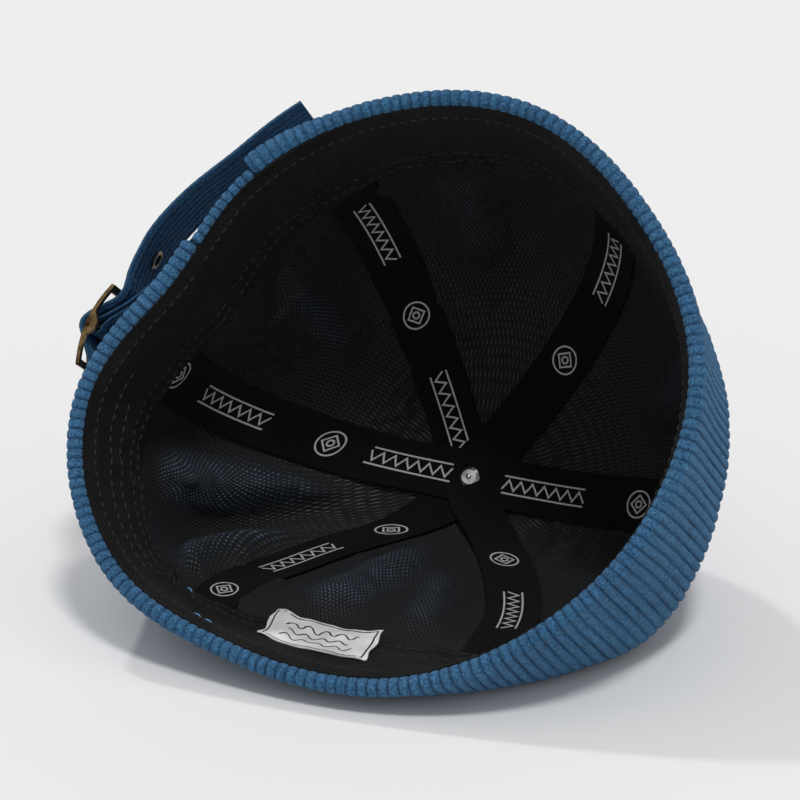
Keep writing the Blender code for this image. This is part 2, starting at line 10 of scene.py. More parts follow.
import bpy
import numpy as np
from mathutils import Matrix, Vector


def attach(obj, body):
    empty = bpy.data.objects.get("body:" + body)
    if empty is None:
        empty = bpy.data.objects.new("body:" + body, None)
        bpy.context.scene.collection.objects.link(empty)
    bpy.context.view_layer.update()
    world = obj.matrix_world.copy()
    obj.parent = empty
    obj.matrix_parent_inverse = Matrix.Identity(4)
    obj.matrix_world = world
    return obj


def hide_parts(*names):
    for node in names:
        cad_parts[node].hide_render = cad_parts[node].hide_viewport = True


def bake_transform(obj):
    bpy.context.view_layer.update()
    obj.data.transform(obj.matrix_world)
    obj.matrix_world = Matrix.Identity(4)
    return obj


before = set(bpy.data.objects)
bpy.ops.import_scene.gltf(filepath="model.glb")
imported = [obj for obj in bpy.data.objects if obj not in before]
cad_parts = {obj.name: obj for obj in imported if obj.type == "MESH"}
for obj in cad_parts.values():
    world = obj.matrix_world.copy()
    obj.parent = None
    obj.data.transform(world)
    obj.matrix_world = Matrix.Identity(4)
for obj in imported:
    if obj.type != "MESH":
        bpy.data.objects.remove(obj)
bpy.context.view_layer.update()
MM = 0.001

# ---- the cap's dimensions, as in the CAD model
OPENING_ELEVATION, OPENING_AZIMUTH = 36.0, 18.0
RIM_CENTRE = np.array((-7.13, -21.49, 84.0))
FLOOR_BLEND = 9.0
RIM_RADII = np.array((101.0, 98.5, 99.0, 91.5, 84.5, 79.5, 97.5, 101.5, 94.0, 95.0, 95.5, 98.5))
WALL_HEIGHT, CROWN_DEPTH, DOME_POWER = 48.0, 108.0, 2.2
SIDE_BULGE, LOWER_BULGE, LOWER_BULGE_ANGLE = -0.033, 0.092, 312.0
CROWN_SAG = (6.0, -7.0)
PANELS, FIRST_SEAM, PANEL_ANGLE = 6, 45.0, 60.0
SEAMS = [FIRST_SEAM + number * PANEL_ANGLE for number in range(PANELS)]
CENTRE_HOLE = 3.4
LINING_DEPTH, TAPE_DEPTH, BAND_DEPTH = 1.5, 2.8, 3.9
TAPE_WIDTH, BAND_HEIGHT = 19.0, 38.0
CUFF_DEPTH, TUCK_DEPTH, CUFF_FLOOR = -3.1, 2.4, 3.1
CUFF_START, CUFF_END, BAND_JOINT = 140.0, 479.0, 145.0
LABEL_START, LABEL_END = 243.0, 265.0
STRAP_ANGLE, STRAP_TILT, STRAP_PIVOT, STRAP_NEAR_EDGE = 145.0, 4.0, 90.0, -12.0
STRAP_WIDTH, STRAP_CLOTH, TAB_CLOTH = 29.0, 2.6, 1.3
BUCKLE_ALONG, BUCKLE_OUT, BUCKLE_SLOPE = -32.0, 96.75, 10.5
BAND_ROUTE = (
    (-25.5, -5.2), (-20.0, -4.1), (-15.0, -3.4), (-11.0, -2.4), (-7.6, 0.2), (-4.1, 2.95), (-0.8, 5.4),
    (2.0, 5.0), (5.0, 2.9), (8.5, -0.2), (11.5, -2.5), (15.0, -3.4), (17.5, -3.2),
)
TAIL_ROUTE = (
    (17.5, -3.2), (21.5, -2.5), (28.0, -2.4), (37.8, -3.7), (53.4, -9.3), (71.7, -19.5), (84.8, -26.7),
    (94.0, -32.9),
)
TAB_OUTER_LEG = (
    (64.4, -29.2), (59.2, -27.2), (51.0, -23.6), (43.3, -20.2), (37.7, -17.4), (22.1, -12.4), (11.8, -6.9),
    (8.0, -3.9), (4.4, -0.9),
)
TAB_INNER_LEG = ((4.2, -3.4), (8.0, -6.3), (11.8, -9.1), (15.5, -11.4))
TAB_LOOP_RADIUS, BAR_HEIGHT = 2.15, 0.4

# the corduroy's wales, and the even radius that lengths round the wall are worked out from
WALE_PITCH, WALE_RISE = 3.27, 0.95
WALL_RADIUS = 93.0


# ---- camera, light and floor
def opening_axes():
    elevation, azimuth = math.radians(OPENING_ELEVATION), math.radians(OPENING_AZIMUTH)
    level = math.cos(elevation)
    out = np.array((-math.sin(azimuth) * level, -math.cos(azimuth) * level, math.sin(elevation)))
    across = np.array((1.0, 0.0, 0.0)) - out * out[0]
    across /= np.linalg.norm(across)
    return across, np.cross(out, across), out


ACROSS, UP_RIM, OUT = opening_axes()

CAMERA_ELEVATION, CAMERA_DISTANCE = 23.0, 850.0
CAMERA_ASIDE, CAMERA_DROP = 7.8125, 4.6875
LENS, SENSOR = 122.4, 36.0

WORLD_STRENGTH = 0.50
# name, turn in degrees, strength, spread in degrees
SUNS = (("key", (18.0, 0.0, 25.0), 1.22, 10.0), ("back", (-30.0, -22.0, 0.0), 0.60, 4.0))
# in metres
FLOOR_HALF, FLOOR_DROP = 3.0, 0.0003
FLOOR_GREY = 0.84


def make_camera():
    tilt = math.radians(CAMERA_ELEVATION)
    back = np.array((0.0, -math.cos(tilt), math.sin(tilt)))
    up = np.array((0.0, math.sin(tilt), math.cos(tilt)))
    place = RIM_CENTRE + back * CAMERA_DISTANCE - up * CAMERA_DROP
    place[0] += CAMERA_ASIDE
    data = bpy.data.cameras.new("camera")
    data.lens = LENS
    data.sensor_width = SENSOR
    data.clip_start = 0.01
    camera = bpy.data.objects.new("camera", data)
    camera.location = Vector(place) * MM
    camera.rotation_euler = (math.radians(90.0 - CAMERA_ELEVATION), 0.0, 0.0)
    bpy.context.scene.collection.objects.link(camera)
    bpy.context.scene.camera = camera


def make_studio():
    scene = bpy.context.scene
    scene.view_settings.view_transform = "Standard"
    world = bpy.data.worlds.new("studio")
    world.use_nodes = True
    background = world.node_tree.nodes["Background"]
    background.inputs["Color"].default_value = (1.0, 1.0, 1.0, 1.0)
    background.inputs["Strength"].default_value = WORLD_STRENGTH
    scene.world = world
    for name, turn, strength, spread in SUNS:
        data = bpy.data.lights.new(name, "SUN")
        data.energy = strength
        data.angle = math.radians(spread)
        lamp = bpy.data.objects.new(name, data)
        lamp.rotation_euler = [math.radians(value) for value in turn]
        scene.collection.objects.link(lamp)
    mesh = bpy.data.meshes.new("floor")
    corners = [(x * FLOOR_HALF, y * FLOOR_HALF, 0) for x, y in ((-1, -1), (1, -1), (1, 1), (-1, 1))]
    mesh.from_pydata(corners, [], [(0, 1, 2, 3)])
    floor = bpy.data.objects.new("floor", mesh)
    floor.location.z = -FLOOR_DROP
    scene.collection.objects.link(floor)
    material = bpy.data.materials.new("floor")
    material.use_nodes = True
    shader = material.node_tree.nodes["Principled BSDF"]
    shader.inputs["Base Color"].default_value = (FLOOR_GREY, FLOOR_GREY, FLOOR_GREY, 1.0)
    shader.inputs["Roughness"].default_value = 0.9
    shader.inputs["Specular IOR Level"].default_value = 0.1
    mesh.materials.append(material)


make_camera()
make_studio()


# ---- the reference surface
def catmull(a, b, c, d, t):
    return 0.5 * (2 * b + (c - a) * t + (2 * a - 5 * b + 4 * c - d) * t**2 + (3 * b - a - 3 * c + d) * t**3)


def rim_radius(angle):
    place = np.mod(angle, 360.0) / 30.0
    first = np.floor(place).astype(int)
    near = [RIM_RADII[(first + step) % 12] for step in (-1, 0, 1, 2)]
    return catmull(*near, place - first)


def bulge(angle):
    """How far the crown swells past the rim, as a share of the rim's radius."""
    towards = np.maximum(0.0, np.cos(np.radians(angle - LOWER_BULGE_ANGLE)))
    return SIDE_BULGE + LOWER_BULGE * towards**4


def profile(angle, line):
    """The share of the rim's radius at each height line, and the depth below the rim."""
    swell = bulge(angle)
    dome = np.radians(90.0) * np.clip(line - 1.0, 0.0, 1.0)
    power = 2.0 / DOME_POWER
    wall_share = 1.0 + swell * (1.0 - (1.0 - np.minimum(line, 1.0)) ** 2)
    dome_share = (1.0 + swell) * np.maximum(0.0, np.cos(dome)) ** power
    dome_depth = WALL_HEIGHT + (CROWN_DEPTH - WALL_HEIGHT) * np.sin(dome) ** power
    on_wall = line <= 1.0
    return np.where(on_wall, wall_share, dome_share), np.where(on_wall, line * WALL_HEIGHT, dome_depth)


def smooth_step(value):
    value = np.clip(value, 0.0, 1.0)
    return value * value * (3.0 - 2.0 * value)


def crown_point(angle, line):
    """A point of the crown's outside, pressed flat where it lies on the floor."""
    share, depth = profile(angle, line)
    radius = rim_radius(angle) * share
    turn = np.radians(angle)
    sag = (depth / CROWN_DEPTH) ** 2
    across = radius * np.cos(turn) + CROWN_SAG[0] * sag
    up_rim = radius * np.sin(turn) + CROWN_SAG[1] * sag
    place = RIM_CENTRE + across[..., None] * ACROSS + up_rim[..., None] * UP_RIM - depth[..., None] * OUT
    floor = CUFF_FLOOR * smooth_step((1.42 - line) / 0.38)
    over = place[..., 2] - floor
    soft = (np.clip(over, -FLOOR_BLEND, FLOOR_BLEND) + FLOOR_BLEND) ** 2 / (4.0 * FLOOR_BLEND)
    place[..., 2] = floor + np.where(over >= FLOOR_BLEND, over, soft)
    return place


def unit(vectors):
    return vectors / np.maximum(1e-9, np.linalg.norm(vectors, axis=-1, keepdims=True))


def inward(angle, line):
    """The direction into the cap from a point of the crown."""
    small = 0.02
    along = crown_point(angle + 1.0, line) - crown_point(angle - 1.0, line)
    up = crown_point(angle, line + small) - crown_point(angle, line - small)
    return unit(np.cross(along, up))


def layer(angle, line, depth):
    """A point at a depth under the crown's outside."""
    angle, line, depth = np.broadcast_arrays(np.asarray(angle, float), line, depth)
    place = crown_point(angle, line) + inward(angle, line) * depth[..., None]
    place[..., 2] = np.maximum(place[..., 2], 0.0)
    return place


def run_along(places):
    """Distance along a line of points, from its start."""
    return np.concatenate([[0.0], np.cumsum(np.linalg.norm(np.diff(places, axis=0), axis=1))])


def half_turn(degrees):
    """The same direction, as an angle from -180 to 180."""
    return np.mod(degrees + 180.0, 360.0) - 180.0


def dome_line(share):
    """The height line in the dome whose radius is this share of the dome's widest."""
    return 1.0 + np.degrees(np.arccos(share ** (DOME_POWER / 2.0))) / 90.0


def hole_line(angle, radius=CENTRE_HOLE):
    return dome_line(radius / (rim_radius(angle) * (1.0 + bulge(angle))))


def flat_places(across, along):
    """The flat place of each point of a cloth, from the values across it and along it."""
    return np.stack(np.broadcast_arrays(across, along), -1)


def wobble(x, y, seed):
    """A smooth, repeatable unevenness between -1 and 1."""
    total = np.zeros(np.broadcast(x, y).shape)
    for step in range(4):
        turn = 1.3 * step + seed
        reach = 1.0 + 0.73 * step
        total = total + np.sin(reach * (x * math.cos(turn) + y * math.sin(turn)) + 7.1 * seed + 2.3 * step)
    return total / 3.0


def wale(phase):
    """Height over a corduroy's wale, from 0 in its valley to 1 on its ridge."""
    side = 2.0 * np.abs(np.mod(phase, 1.0) - 0.5)
    return (1.0 - side**3.2) ** 0.70


def pile(phase, along, seed=0.0):
    """A wale's height with the unevenness that its cut pile has."""
    number = np.floor(phase)
    slow = np.sin(along * 2.1 + number * 2.399 + seed)
    quick = np.sin(along * 3.9 + number * 4.7 + seed)
    return wale(phase) * (0.90 + 0.10 * (0.55 * slow + 0.45 * quick))


# ---- meshes
def cells(index):
    return np.stack([index[:-1, :-1], index[:-1, 1:], index[1:, 1:], index[1:, :-1]], -1).reshape(-1, 4)


def make_mesh(name, places, quads, caps=(), uv=None, height=None, round_angle=60.0):
    """A mesh from points in millimetres, four-sided faces and end caps, turned to face outwards."""
    mesh = bpy.data.meshes.new(name)
    places = np.asarray(places, float).reshape(-1, 3) * MM
    quads = np.asarray(quads, int).reshape(-1, 4)
    a, b, c, d = (places[quads[:, corner]] for corner in range(4))
    volume = np.einsum("ij,ij->", a, np.cross(b, c)) + np.einsum("ij,ij->", a, np.cross(c, d))
    if volume < 0.0:
        quads = quads[:, ::-1]
        caps = [cap[::-1] for cap in caps]
    loops = np.concatenate([quads.ravel()] + [np.asarray(cap) for cap in caps])
    sizes = np.concatenate([np.full(len(quads), 4), [len(cap) for cap in caps]]).astype(int)
    mesh.vertices.add(len(places))
    mesh.vertices.foreach_set("co", places.ravel())
    mesh.loops.add(len(loops))
    mesh.loops.foreach_set("vertex_index", loops)
    mesh.polygons.add(len(sizes))
    mesh.polygons.foreach_set("loop_start", np.concatenate([[0], np.cumsum(sizes)[:-1]]))
    mesh.update(calc_edges=True)
    if uv is not None:
        layer_uv = mesh.uv_layers.new(name="cloth")
        layer_uv.data.foreach_set("uv", np.asarray(uv, float).reshape(-1, 2)[loops].ravel())
    if height is not None:
        attribute = mesh.attributes.new("wale", "FLOAT", "POINT")
        attribute.data.foreach_set("value", np.asarray(height, float).ravel().astype(np.float32))
    mesh.validate()
    mesh.shade_smooth()
    mesh.set_sharp_from_angle(angle=math.radians(round_angle))
    item = bpy.data.objects.new(name, mesh)
    bpy.context.scene.collection.objects.link(item)
    return item


def tube(name, places, uv, height):
    """A mesh from rings of points, with a cap at each end."""
    index = np.arange(places[..., 0].size).reshape(places.shape[:2])
    wrapped = np.concatenate([index, index[:, :1]], 1)
    return make_mesh(name, places, cells(wrapped), [index[0][::-1], index[-1]], uv, height)


def slab(name, front, back, uv, height=None):
    """A cloth with a front and a back grid of points, closed all round its edge."""
    rows, columns = front.shape[:2]
    count = rows * columns
    index = np.arange(count).reshape(rows, columns)
    edge = np.concatenate([index[0, :-1], index[:-1, -1], index[-1, :0:-1], index[:0:-1, 0]])
    after = np.roll(edge, -1)
    side = np.stack([after, edge, edge + count, after + count], 1)
    quads = np.concatenate([cells(index), cells(index + count)[:, ::-1], side])
    if height is not None:
        height = np.concatenate([np.ravel(height), np.zeros(count)])
    places = np.concatenate([front.reshape(-1, 3), back.reshape(-1, 3)])
    return make_mesh(name, places, quads, uv=np.concatenate([uv.reshape(-1, 2)] * 2), height=height)


def dress(item, material, body="cap", nodes=()):
    """Gives a finished piece its material, body and CAD nodes."""
    item.data.materials.clear()
    item.data.materials.append(material)
    if nodes:
        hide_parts(*nodes)
    if body:
        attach(item, body)
    return item


# ---- materials
class Recipe:
    """A Principled material and short ways to add nodes to it."""

    def __init__(self, name, **sockets):
        self.material = bpy.data.materials.new(name)
        self.material.use_nodes = True
        self.tree = self.material.node_tree
        self.shader = self.tree.nodes["Principled BSDF"]
        for socket, value in sockets.items():
            self.shader.inputs[socket.replace("_", " ")].default_value = value

    def node(self, kind, links=None, **values):
        node = self.tree.nodes.new(kind)
        for key, value in values.items():
            if hasattr(node, key) and key not in node.inputs:
                setattr(node, key, value)
            else:
                node.inputs[key].default_value = value
        for key, source in (links or {}).items():
            self.tree.links.new(source, node.inputs[key])
        return node

    def feed(self, source, socket):
        self.tree.links.new(source, self.shader.inputs[socket])

    def math(self, operation, *values):
        node = self.tree.nodes.new("ShaderNodeMath")
        node.operation = operation
        for place, value in enumerate(values):
            if isinstance(value, float):
                node.inputs[place].default_value = value
            else:
                self.tree.links.new(value, node.inputs[place])
        return node.outputs[0]

    def noise(self, scale, detail=2.0, roughness=0.5):
        place = self.node("ShaderNodeTexCoord").outputs["Object"]
        values = {"Scale": scale, "Detail": detail, "Roughness": roughness}
        return self.node("ShaderNodeTexNoise", {"Vector": place}, **values).outputs["Fac"]

    def ramp(self, factor, stops):
        node = self.tree.nodes.new("ShaderNodeValToRGB")
        self.tree.links.new(factor, node.inputs["Fac"])
        ramp = node.color_ramp
        while len(ramp.elements) < len(stops):
            ramp.elements.new(0.5)
        for element, (place, colour) in zip(ramp.elements, stops):
            element.position = place
            element.color = (*colour, 1.0)
        return node.outputs["Color"]

    def tint(self, first, second, factor=1.0):
        """Multiplies one colour by another."""
        node = self.tree.nodes.new("ShaderNodeMix")
        node.data_type = "RGBA"
        node.blend_type = "MULTIPLY"
        node.inputs[0].default_value = factor
        self.tree.links.new(first, node.inputs[6])
        self.tree.links.new(second, node.inputs[7])
        return node.outputs[2]

    def times(self, first, second):
        return self.math("MULTIPLY", first, second)

    def bump(self, height, distance, strength=1.0, below=None):
        node = self.node("ShaderNodeBump", {"Height": height}, Distance=distance, Strength=strength)
        if below is not None:
            self.tree.links.new(below, node.inputs["Normal"])
        return node.outputs["Normal"]

    def uv(self):
        node = self.tree.nodes.new("ShaderNodeUVMap")
        node.uv_map = "cloth"
        split = self.node("ShaderNodeSeparateXYZ", {"Vector": node.outputs["UV"]})
        return split.outputs["X"], split.outputs["Y"]


def grey(value):
    return (value,) * 3


def corduroy(name, shade=1.0):
    """Cut pile, tufted on its ridges, with painted shade darkening the colour from the wales' ridges into the
    valleys between them.
    """
    made = Recipe(
        name, Roughness=0.92, Specular_IOR_Level=0.12, Sheen_Weight=0.30, Sheen_Roughness=0.45,
        Sheen_Tint=(0.42, 0.68, 0.95, 1.0),
    )
    rise = made.node("ShaderNodeAttribute", attribute_name="wale").outputs["Fac"]
    # painted shade: the colour darkens from ridge through flank to valley, by a point's height on its wale
    valley, flank, ridge = (0.0062, 0.029, 0.076), (0.024, 0.100, 0.228), (0.062, 0.200, 0.395)
    # shade below 1 darkens every colour, making a copy of the cloth with painted shade
    base = made.ramp(rise, [
        (place, tuple(part * shade for part in colour))
        for place, colour in ((0.0, valley), (0.40, flank), (1.0, ridge))
    ])
    tufts = made.ramp(made.noise(1150.0, 5.0, roughness=0.8), ((0.38, grey(0.34)), (0.64, grey(1.95))))
    patches = made.ramp(made.noise(38.0, 2.0), ((0.3, (0.84, 0.88, 0.90)), (0.7, (1.12, 1.08, 1.05))))
    made.feed(made.tint(made.tint(base, tufts, 0.9), patches), "Base Color")
    coarse = made.bump(made.noise(1150.0, 5.0, roughness=0.8), 0.0013)
    made.feed(made.bump(made.noise(2600.0, 2.0), 0.0004, below=coarse), "Normal")
    return made.material


def net_lining():
    """A dark net, with painted light brightening its fold ridges and painted shade darkening it away from
    them.
    """
    made = Recipe("net_lining", Specular_IOR_Level=0.55, Sheen_Weight=0.03, Sheen_Tint=(0.45, 0.6, 0.9, 1.0))
    across, along = made.uv()
    pitch, squash = 1.5, 0.62
    lower = made.times(along, squash)
    threads = [
        made.math("SINE", made.times(made.math(operation, across, lower), math.pi / pitch))
        for operation in ("ADD", "SUBTRACT")
    ]
    knots = made.math("ABSOLUTE", made.times(*threads))
    uneven = made.times(knots, made.math("ADD", made.noise(260.0, 3.0), 0.45))
    colour = made.ramp(uneven, (
        (0.40, (0.0006, 0.0010, 0.0020)), (0.66, (0.0018, 0.0034, 0.0070)), (0.95, (0.034, 0.050, 0.076)),
    ))
    # painted light and shade: the fold mask brightens the net on fold ridges and darkens it away from the
    # folds
    on_fold = made.node("ShaderNodeAttribute", attribute_name="wale").outputs["Fac"]
    painted_fold_light = made.ramp(on_fold, ((0.0, grey(0.13)), (0.28, grey(0.32)), (0.9, (2.6, 2.7, 2.8))))
    made.feed(made.tint(colour, painted_fold_light), "Base Color")
    made.feed(made.ramp(uneven, ((0.35, grey(0.90)), (0.9, grey(0.45)))), "Roughness")
    made.feed(made.bump(knots, 0.00030), "Normal")
    return made.material


def twill(name, dark, light, pitch, lean, sheen):
    """A woven cloth with ribs a pitch apart in millimetres, leaning where lean isn't 0."""
    made = Recipe(name, Specular_IOR_Level=0.15, Sheen_Weight=sheen, Sheen_Roughness=0.5, Roughness=0.85)
    across, along = made.uv()
    slanted = made.math("ADD", across, made.times(along, lean))
    rib = made.math("ABSOLUTE", made.math("SINE", made.times(slanted, math.pi / pitch)))
    lint = made.noise(1500.0, 3.0, roughness=0.7)
    factor = made.times(rib, made.math("ADD", lint, 0.5))
    cloudy = made.ramp(made.noise(60.0, 2.0), ((0.35, grey(0.75)), (0.7, grey(1.35))))
    made.feed(made.tint(made.ramp(factor, ((0.2, dark), (0.9, light))), cloudy), "Base Color")
    made.feed(made.bump(lint, 0.00010, below=made.bump(rib, 0.00022)), "Normal")
    return made.material


def fibre(name, low, high, scale=1400.0, roughness=0.9, depth=0.0002, sheen=0.2):
    made = Recipe(name, Roughness=roughness, Specular_IOR_Level=0.2, Sheen_Weight=sheen)
    grain = made.noise(scale, 3.0, roughness=0.7)
    made.feed(made.ramp(grain, ((0.3, low), (0.7, high))), "Base Color")
    made.feed(made.bump(grain, depth), "Normal")
    return made.material


def metal(name, dark, bright, rough=(0.24, 0.55)):
    made = Recipe(name, Metallic=1.0)
    stain = made.noise(170.0, 4.0, roughness=0.7)
    fine = made.noise(900.0, 3.0, roughness=0.6)
    made.feed(made.ramp(stain, ((0.36, dark), (0.58, bright))), "Base Color")
    made.feed(made.ramp(stain, ((0.35, grey(rough[1])), (0.62, grey(rough[0])))), "Roughness")
    made.feed(made.bump(fine, 0.00006, 0.6), "Normal")
    return made.material


CORDUROY = corduroy("blue_corduroy")
# painted shade: the strap and its tab wear this darkened copy, standing in for the shadow on the strap's
# inner face
SHADED_STRAP_CORDUROY = corduroy("shaded_strap_corduroy", 0.78)
NET = net_lining()
TAPE = twill("black_tape", (0.0010, 0.0010, 0.0012), (0.0060, 0.0060, 0.0066), 0.62, 0.0, 0.01)
BAND_TWILL = twill("black_twill", (0.0008, 0.0008, 0.0010), (0.0135, 0.0135, 0.0145), 1.15, 0.9, 0.02)
FELT = fibre("grey_felt", (0.20, 0.21, 0.23), (0.32, 0.33, 0.35))
PRINT = fibre("light_grey_print", (0.36, 0.37, 0.38), (0.58, 0.59, 0.60), 1900.0, 0.7, 0.00004, 0.0)
BLACK_THREAD = fibre("black_thread", (0.005, 0.005, 0.006), (0.020, 0.020, 0.022), 3000.0, 0.6, 0.00008)
GREY_THREAD = fibre("grey_thread", (0.010, 0.010, 0.011), (0.045, 0.045, 0.048), 3000.0, 0.6, 0.00008)
NAVY_THREAD = fibre("navy_thread", (0.006, 0.022, 0.060), (0.016, 0.060, 0.140), 3000.0, 0.7, 0.00008)
BLUE_THREAD = fibre("blue_thread", (0.08, 0.30, 0.62), (0.20, 0.48, 0.82), 3000.0, 0.7, 0.00008)
SATIN = twill("white_satin", (0.90, 0.90, 0.89), (1.0, 1.0, 0.99), 0.45, 0.0, 0.15)
INK = fibre("dark_ink", (0.010, 0.010, 0.012), (0.030, 0.030, 0.034), 2500.0, 0.8, 0.00003, 0.0)
BRASS = metal("antique_brass", (0.030, 0.020, 0.010), (0.30, 0.20, 0.085), (0.34, 0.62))
EYELET = metal("dark_eyelet", (0.030, 0.024, 0.018), (0.26, 0.19, 0.12))
STEEL = metal("rivet_steel", (0.34, 0.34, 0.33), (0.70, 0.70, 0.68), (0.18, 0.34))


# ---- cuff and binding
def fold_route(inner_depth, outer_depth, top, hem):
    """Heights and depths of a turned-up cloth's face: down the inside, round the rim and up the outside."""
    radius = 0.5 * (inner_depth - outer_depth)
    middle = 0.5 * (inner_depth + outer_depth)
    heights = [7.0, 5.0, 3.0, 1.5]
    depths = [inner_depth + 0.1] * 2 + [inner_depth] * 2
    for turn in np.radians(np.linspace(0.0, 180.0, 15)):
        heights.append(-radius * math.sin(turn))
        depths.append(middle + radius * math.cos(turn))
    steps = max(3, int(top / 1.4))
    heights += list(np.linspace(1.5, top, steps))
    depths += [outer_depth] * steps
    if hem:
        for turn in np.radians(np.linspace(30.0, 180.0, 6)):
            heights.append(top + 1.0 * math.sin(turn))
            depths.append(outer_depth + 1.0 * (1.0 - math.cos(turn)))
        heights += [top - 3.0, top - 7.0]
        depths += [outer_depth + 2.0] * 2
    return np.array(heights), np.array(depths)


def arc_angles(start, end, step):
    """Angles a fixed distance apart round the rim, and their distances from the start."""
    fine = np.linspace(start, end, 4000)
    run = run_along(crown_point(fine, np.zeros(fine.shape)))
    count = int(round(run[-1] / step)) + 1
    wanted = np.linspace(0.0, run[-1], count)
    return np.interp(wanted, run, fine), wanted


# how far under its face a fold's back lies, and how far the cuff's outside and roll stand out at its ends
FOLD_CLOTH = 1.2
END_SWELL, ROLL_SWELL = 2.6, 1.2


def make_fold(name, start, end, inner_depth, outer_depth, top, hem, nodes):
    """Corduroy turned over the rim, with its wales across the fold."""
    angles, run = arc_angles(start, end, WALE_PITCH / 8.0)
    heights, depths = fold_route(inner_depth, outer_depth, top, hem)
    travel = np.concatenate([[0.0], np.cumsum(np.hypot(np.diff(heights), np.diff(depths)))])
    out_h, out_d = np.gradient(depths, travel)[:, None], -np.gradient(heights, travel)[:, None]
    heights, depths, travel = heights[:, None], depths[:, None], travel[:, None]
    angle, line_run = angles[None, :], run[None, :]
    drift = 0.10 * wobble(angle * 0.11, travel * 0.05, 2.0) * smooth_step(travel / 30.0)
    ridge = pile(line_run / WALE_PITCH + drift, travel)
    ends = np.minimum(line_run, run[-1] - line_run)
    tuck = 1.0 - smooth_step(ends / 1.6)
    on_roll = 1.0 - smooth_step((travel - 9.0) / 12.0)
    height = (ridge - 0.75) * WALE_RISE * (1.0 - 0.42 * on_roll) - 0.9 * tuck**2
    up = smooth_step(heights / top)
    soft = 0.55 * wobble(angle * 0.07, heights * 0.03, 1.0) * up
    soft = soft + 0.25 * wobble(angle * 0.21, heights * 0.05, 4.0) * up
    if hem:
        near_end = smooth_step((angle - (end - 24.0)) / 22.0)
        near_end = near_end + 0.25 * smooth_step((start + 40.0 - angle) / 30.0)
        outside = smooth_step((travel - 7.0) / 8.0)
        soft = soft - END_SWELL * near_end * outside
        soft = soft - ROLL_SWELL * near_end * (1.0 - outside) * smooth_step((travel - 5.0) / 4.0)
    front = layer(angle, (heights + out_h * height) / WALL_HEIGHT, depths + out_d * height + soft)
    back = layer(angle, (heights - out_h * FOLD_CLOTH) / WALL_HEIGHT, depths - out_d * FOLD_CLOTH + soft)
    uv = flat_places(line_run, travel)
    dress(slab(name, front, back, uv, ridge), CORDUROY, nodes=nodes)


BINDING_GAP, BINDING_DEPTH, BINDING_TOP = 0.25, -1.35, 6.0
make_fold("cuff", CUFF_START, CUFF_END, TUCK_DEPTH, CUFF_DEPTH, WALL_HEIGHT, True, ["cuff_shell"])
make_fold(
    "rim_binding", CUFF_END - 360.0 + BINDING_GAP, CUFF_START - BINDING_GAP, TUCK_DEPTH, BINDING_DEPTH,
    BINDING_TOP, False, ["rear_binding"],
)

FACING_LOW, FACING_HIGH = 1.5, 46.0


def cuff_layer(name, depth, thick, columns, material, node, ribbed=False):
    """A flat cloth inside the cuff."""
    angle = np.linspace(CUFF_START, CUFF_END, columns)[None, :]
    height = np.linspace(FACING_LOW, FACING_HIGH, 12)[:, None]
    run = np.radians(angle - CUFF_START) * WALL_RADIUS
    ridge = wale(run / WALE_PITCH) + 0.0 * height
    rise = 0.3 * (ridge - 1.0) if ribbed else 0.0 * ridge
    front = layer(angle, height / WALL_HEIGHT, depth - rise)
    back = layer(angle, height / WALL_HEIGHT, depth + thick)
    uv = flat_places(run, height)
    dress(slab(name, front, back, uv, ridge if ribbed else None), material, nodes=[node])


cuff_layer("cuff_facing_cloth", -1.1, 0.6, 1080, CORDUROY, "cuff_facing", True)
cuff_layer("cuff_felt", -1.65, 0.25, 240, FELT, "cuff_interlining")


# ---- crown panels, button
CROWN_CLOTH, CROWN_GROOVE, CROWN_SWELL = 1.40, 1.05, 1.3


def make_crown_panel(number):
    """One crown panel, its wales running down its middle and cut off at its seams."""
    middle, half = SEAMS[number] + 0.5 * PANEL_ANGLE, 0.5 * PANEL_ANGLE
    side = np.linspace(-1.0, 1.0, 241)[None, :]
    side = np.sign(side) * (1.0 - (1.0 - np.abs(side)) ** 1.08)
    wall = np.linspace(1.5, WALL_HEIGHT, 20)[:-1, None] / WALL_HEIGHT
    share = np.linspace(0.0, 1.0, 76)[:, None]
    angle = middle + half * side
    dome = 1.0 + (hole_line(angle) - 1.0) * share
    line = np.concatenate([wall + 0.0 * angle, dome])
    angle = angle + 0.0 * line
    width, depth_down = profile(angle, line)
    radius = rim_radius(angle) * width
    across = radius * np.radians(angle - middle)
    edge = radius * np.radians(half) * (1.0 - np.abs(side)) - 0.12
    ridge = pile(across / WALE_PITCH + 0.5, depth_down * 0.9, number)
    seam = np.exp(-((np.maximum(edge, 0.0) / 1.5) ** 2))
    soft = 0.5 * (1.0 + wobble(angle * 0.055, line * 2.6, 3.0 + number)) * smooth_step((line - 0.9) / 0.3)
    soft = soft * smooth_step((1.97 - line) / 0.25) * CROWN_SWELL
    groove = np.minimum(WALE_RISE * 0.9 * (1.0 - ridge) + 0.95 * seam, CROWN_GROOVE)
    front = layer(angle, line, groove - soft)
    back = layer(angle, line, CROWN_CLOTH - soft)
    uv = np.stack([across, depth_down], -1)
    item = slab(f"crown_cloth_{number + 1}", front, back, uv, ridge * (1.0 - 0.5 * seam))
    dress(item, CORDUROY, nodes=[f"crown_panel_{number + 1}"])


for panel in range(PANELS):
    make_crown_panel(panel)


def crown_centre(depth):
    return RIM_CENTRE + ACROSS * CROWN_SAG[0] + UP_RIM * CROWN_SAG[1] - OUT * (CROWN_DEPTH - depth)


BUTTON_RADIUS, BUTTON_DOME, BUTTON_EDGE, BUTTON_PLEATS = 6.0, 3.0, 0.9, 16.0


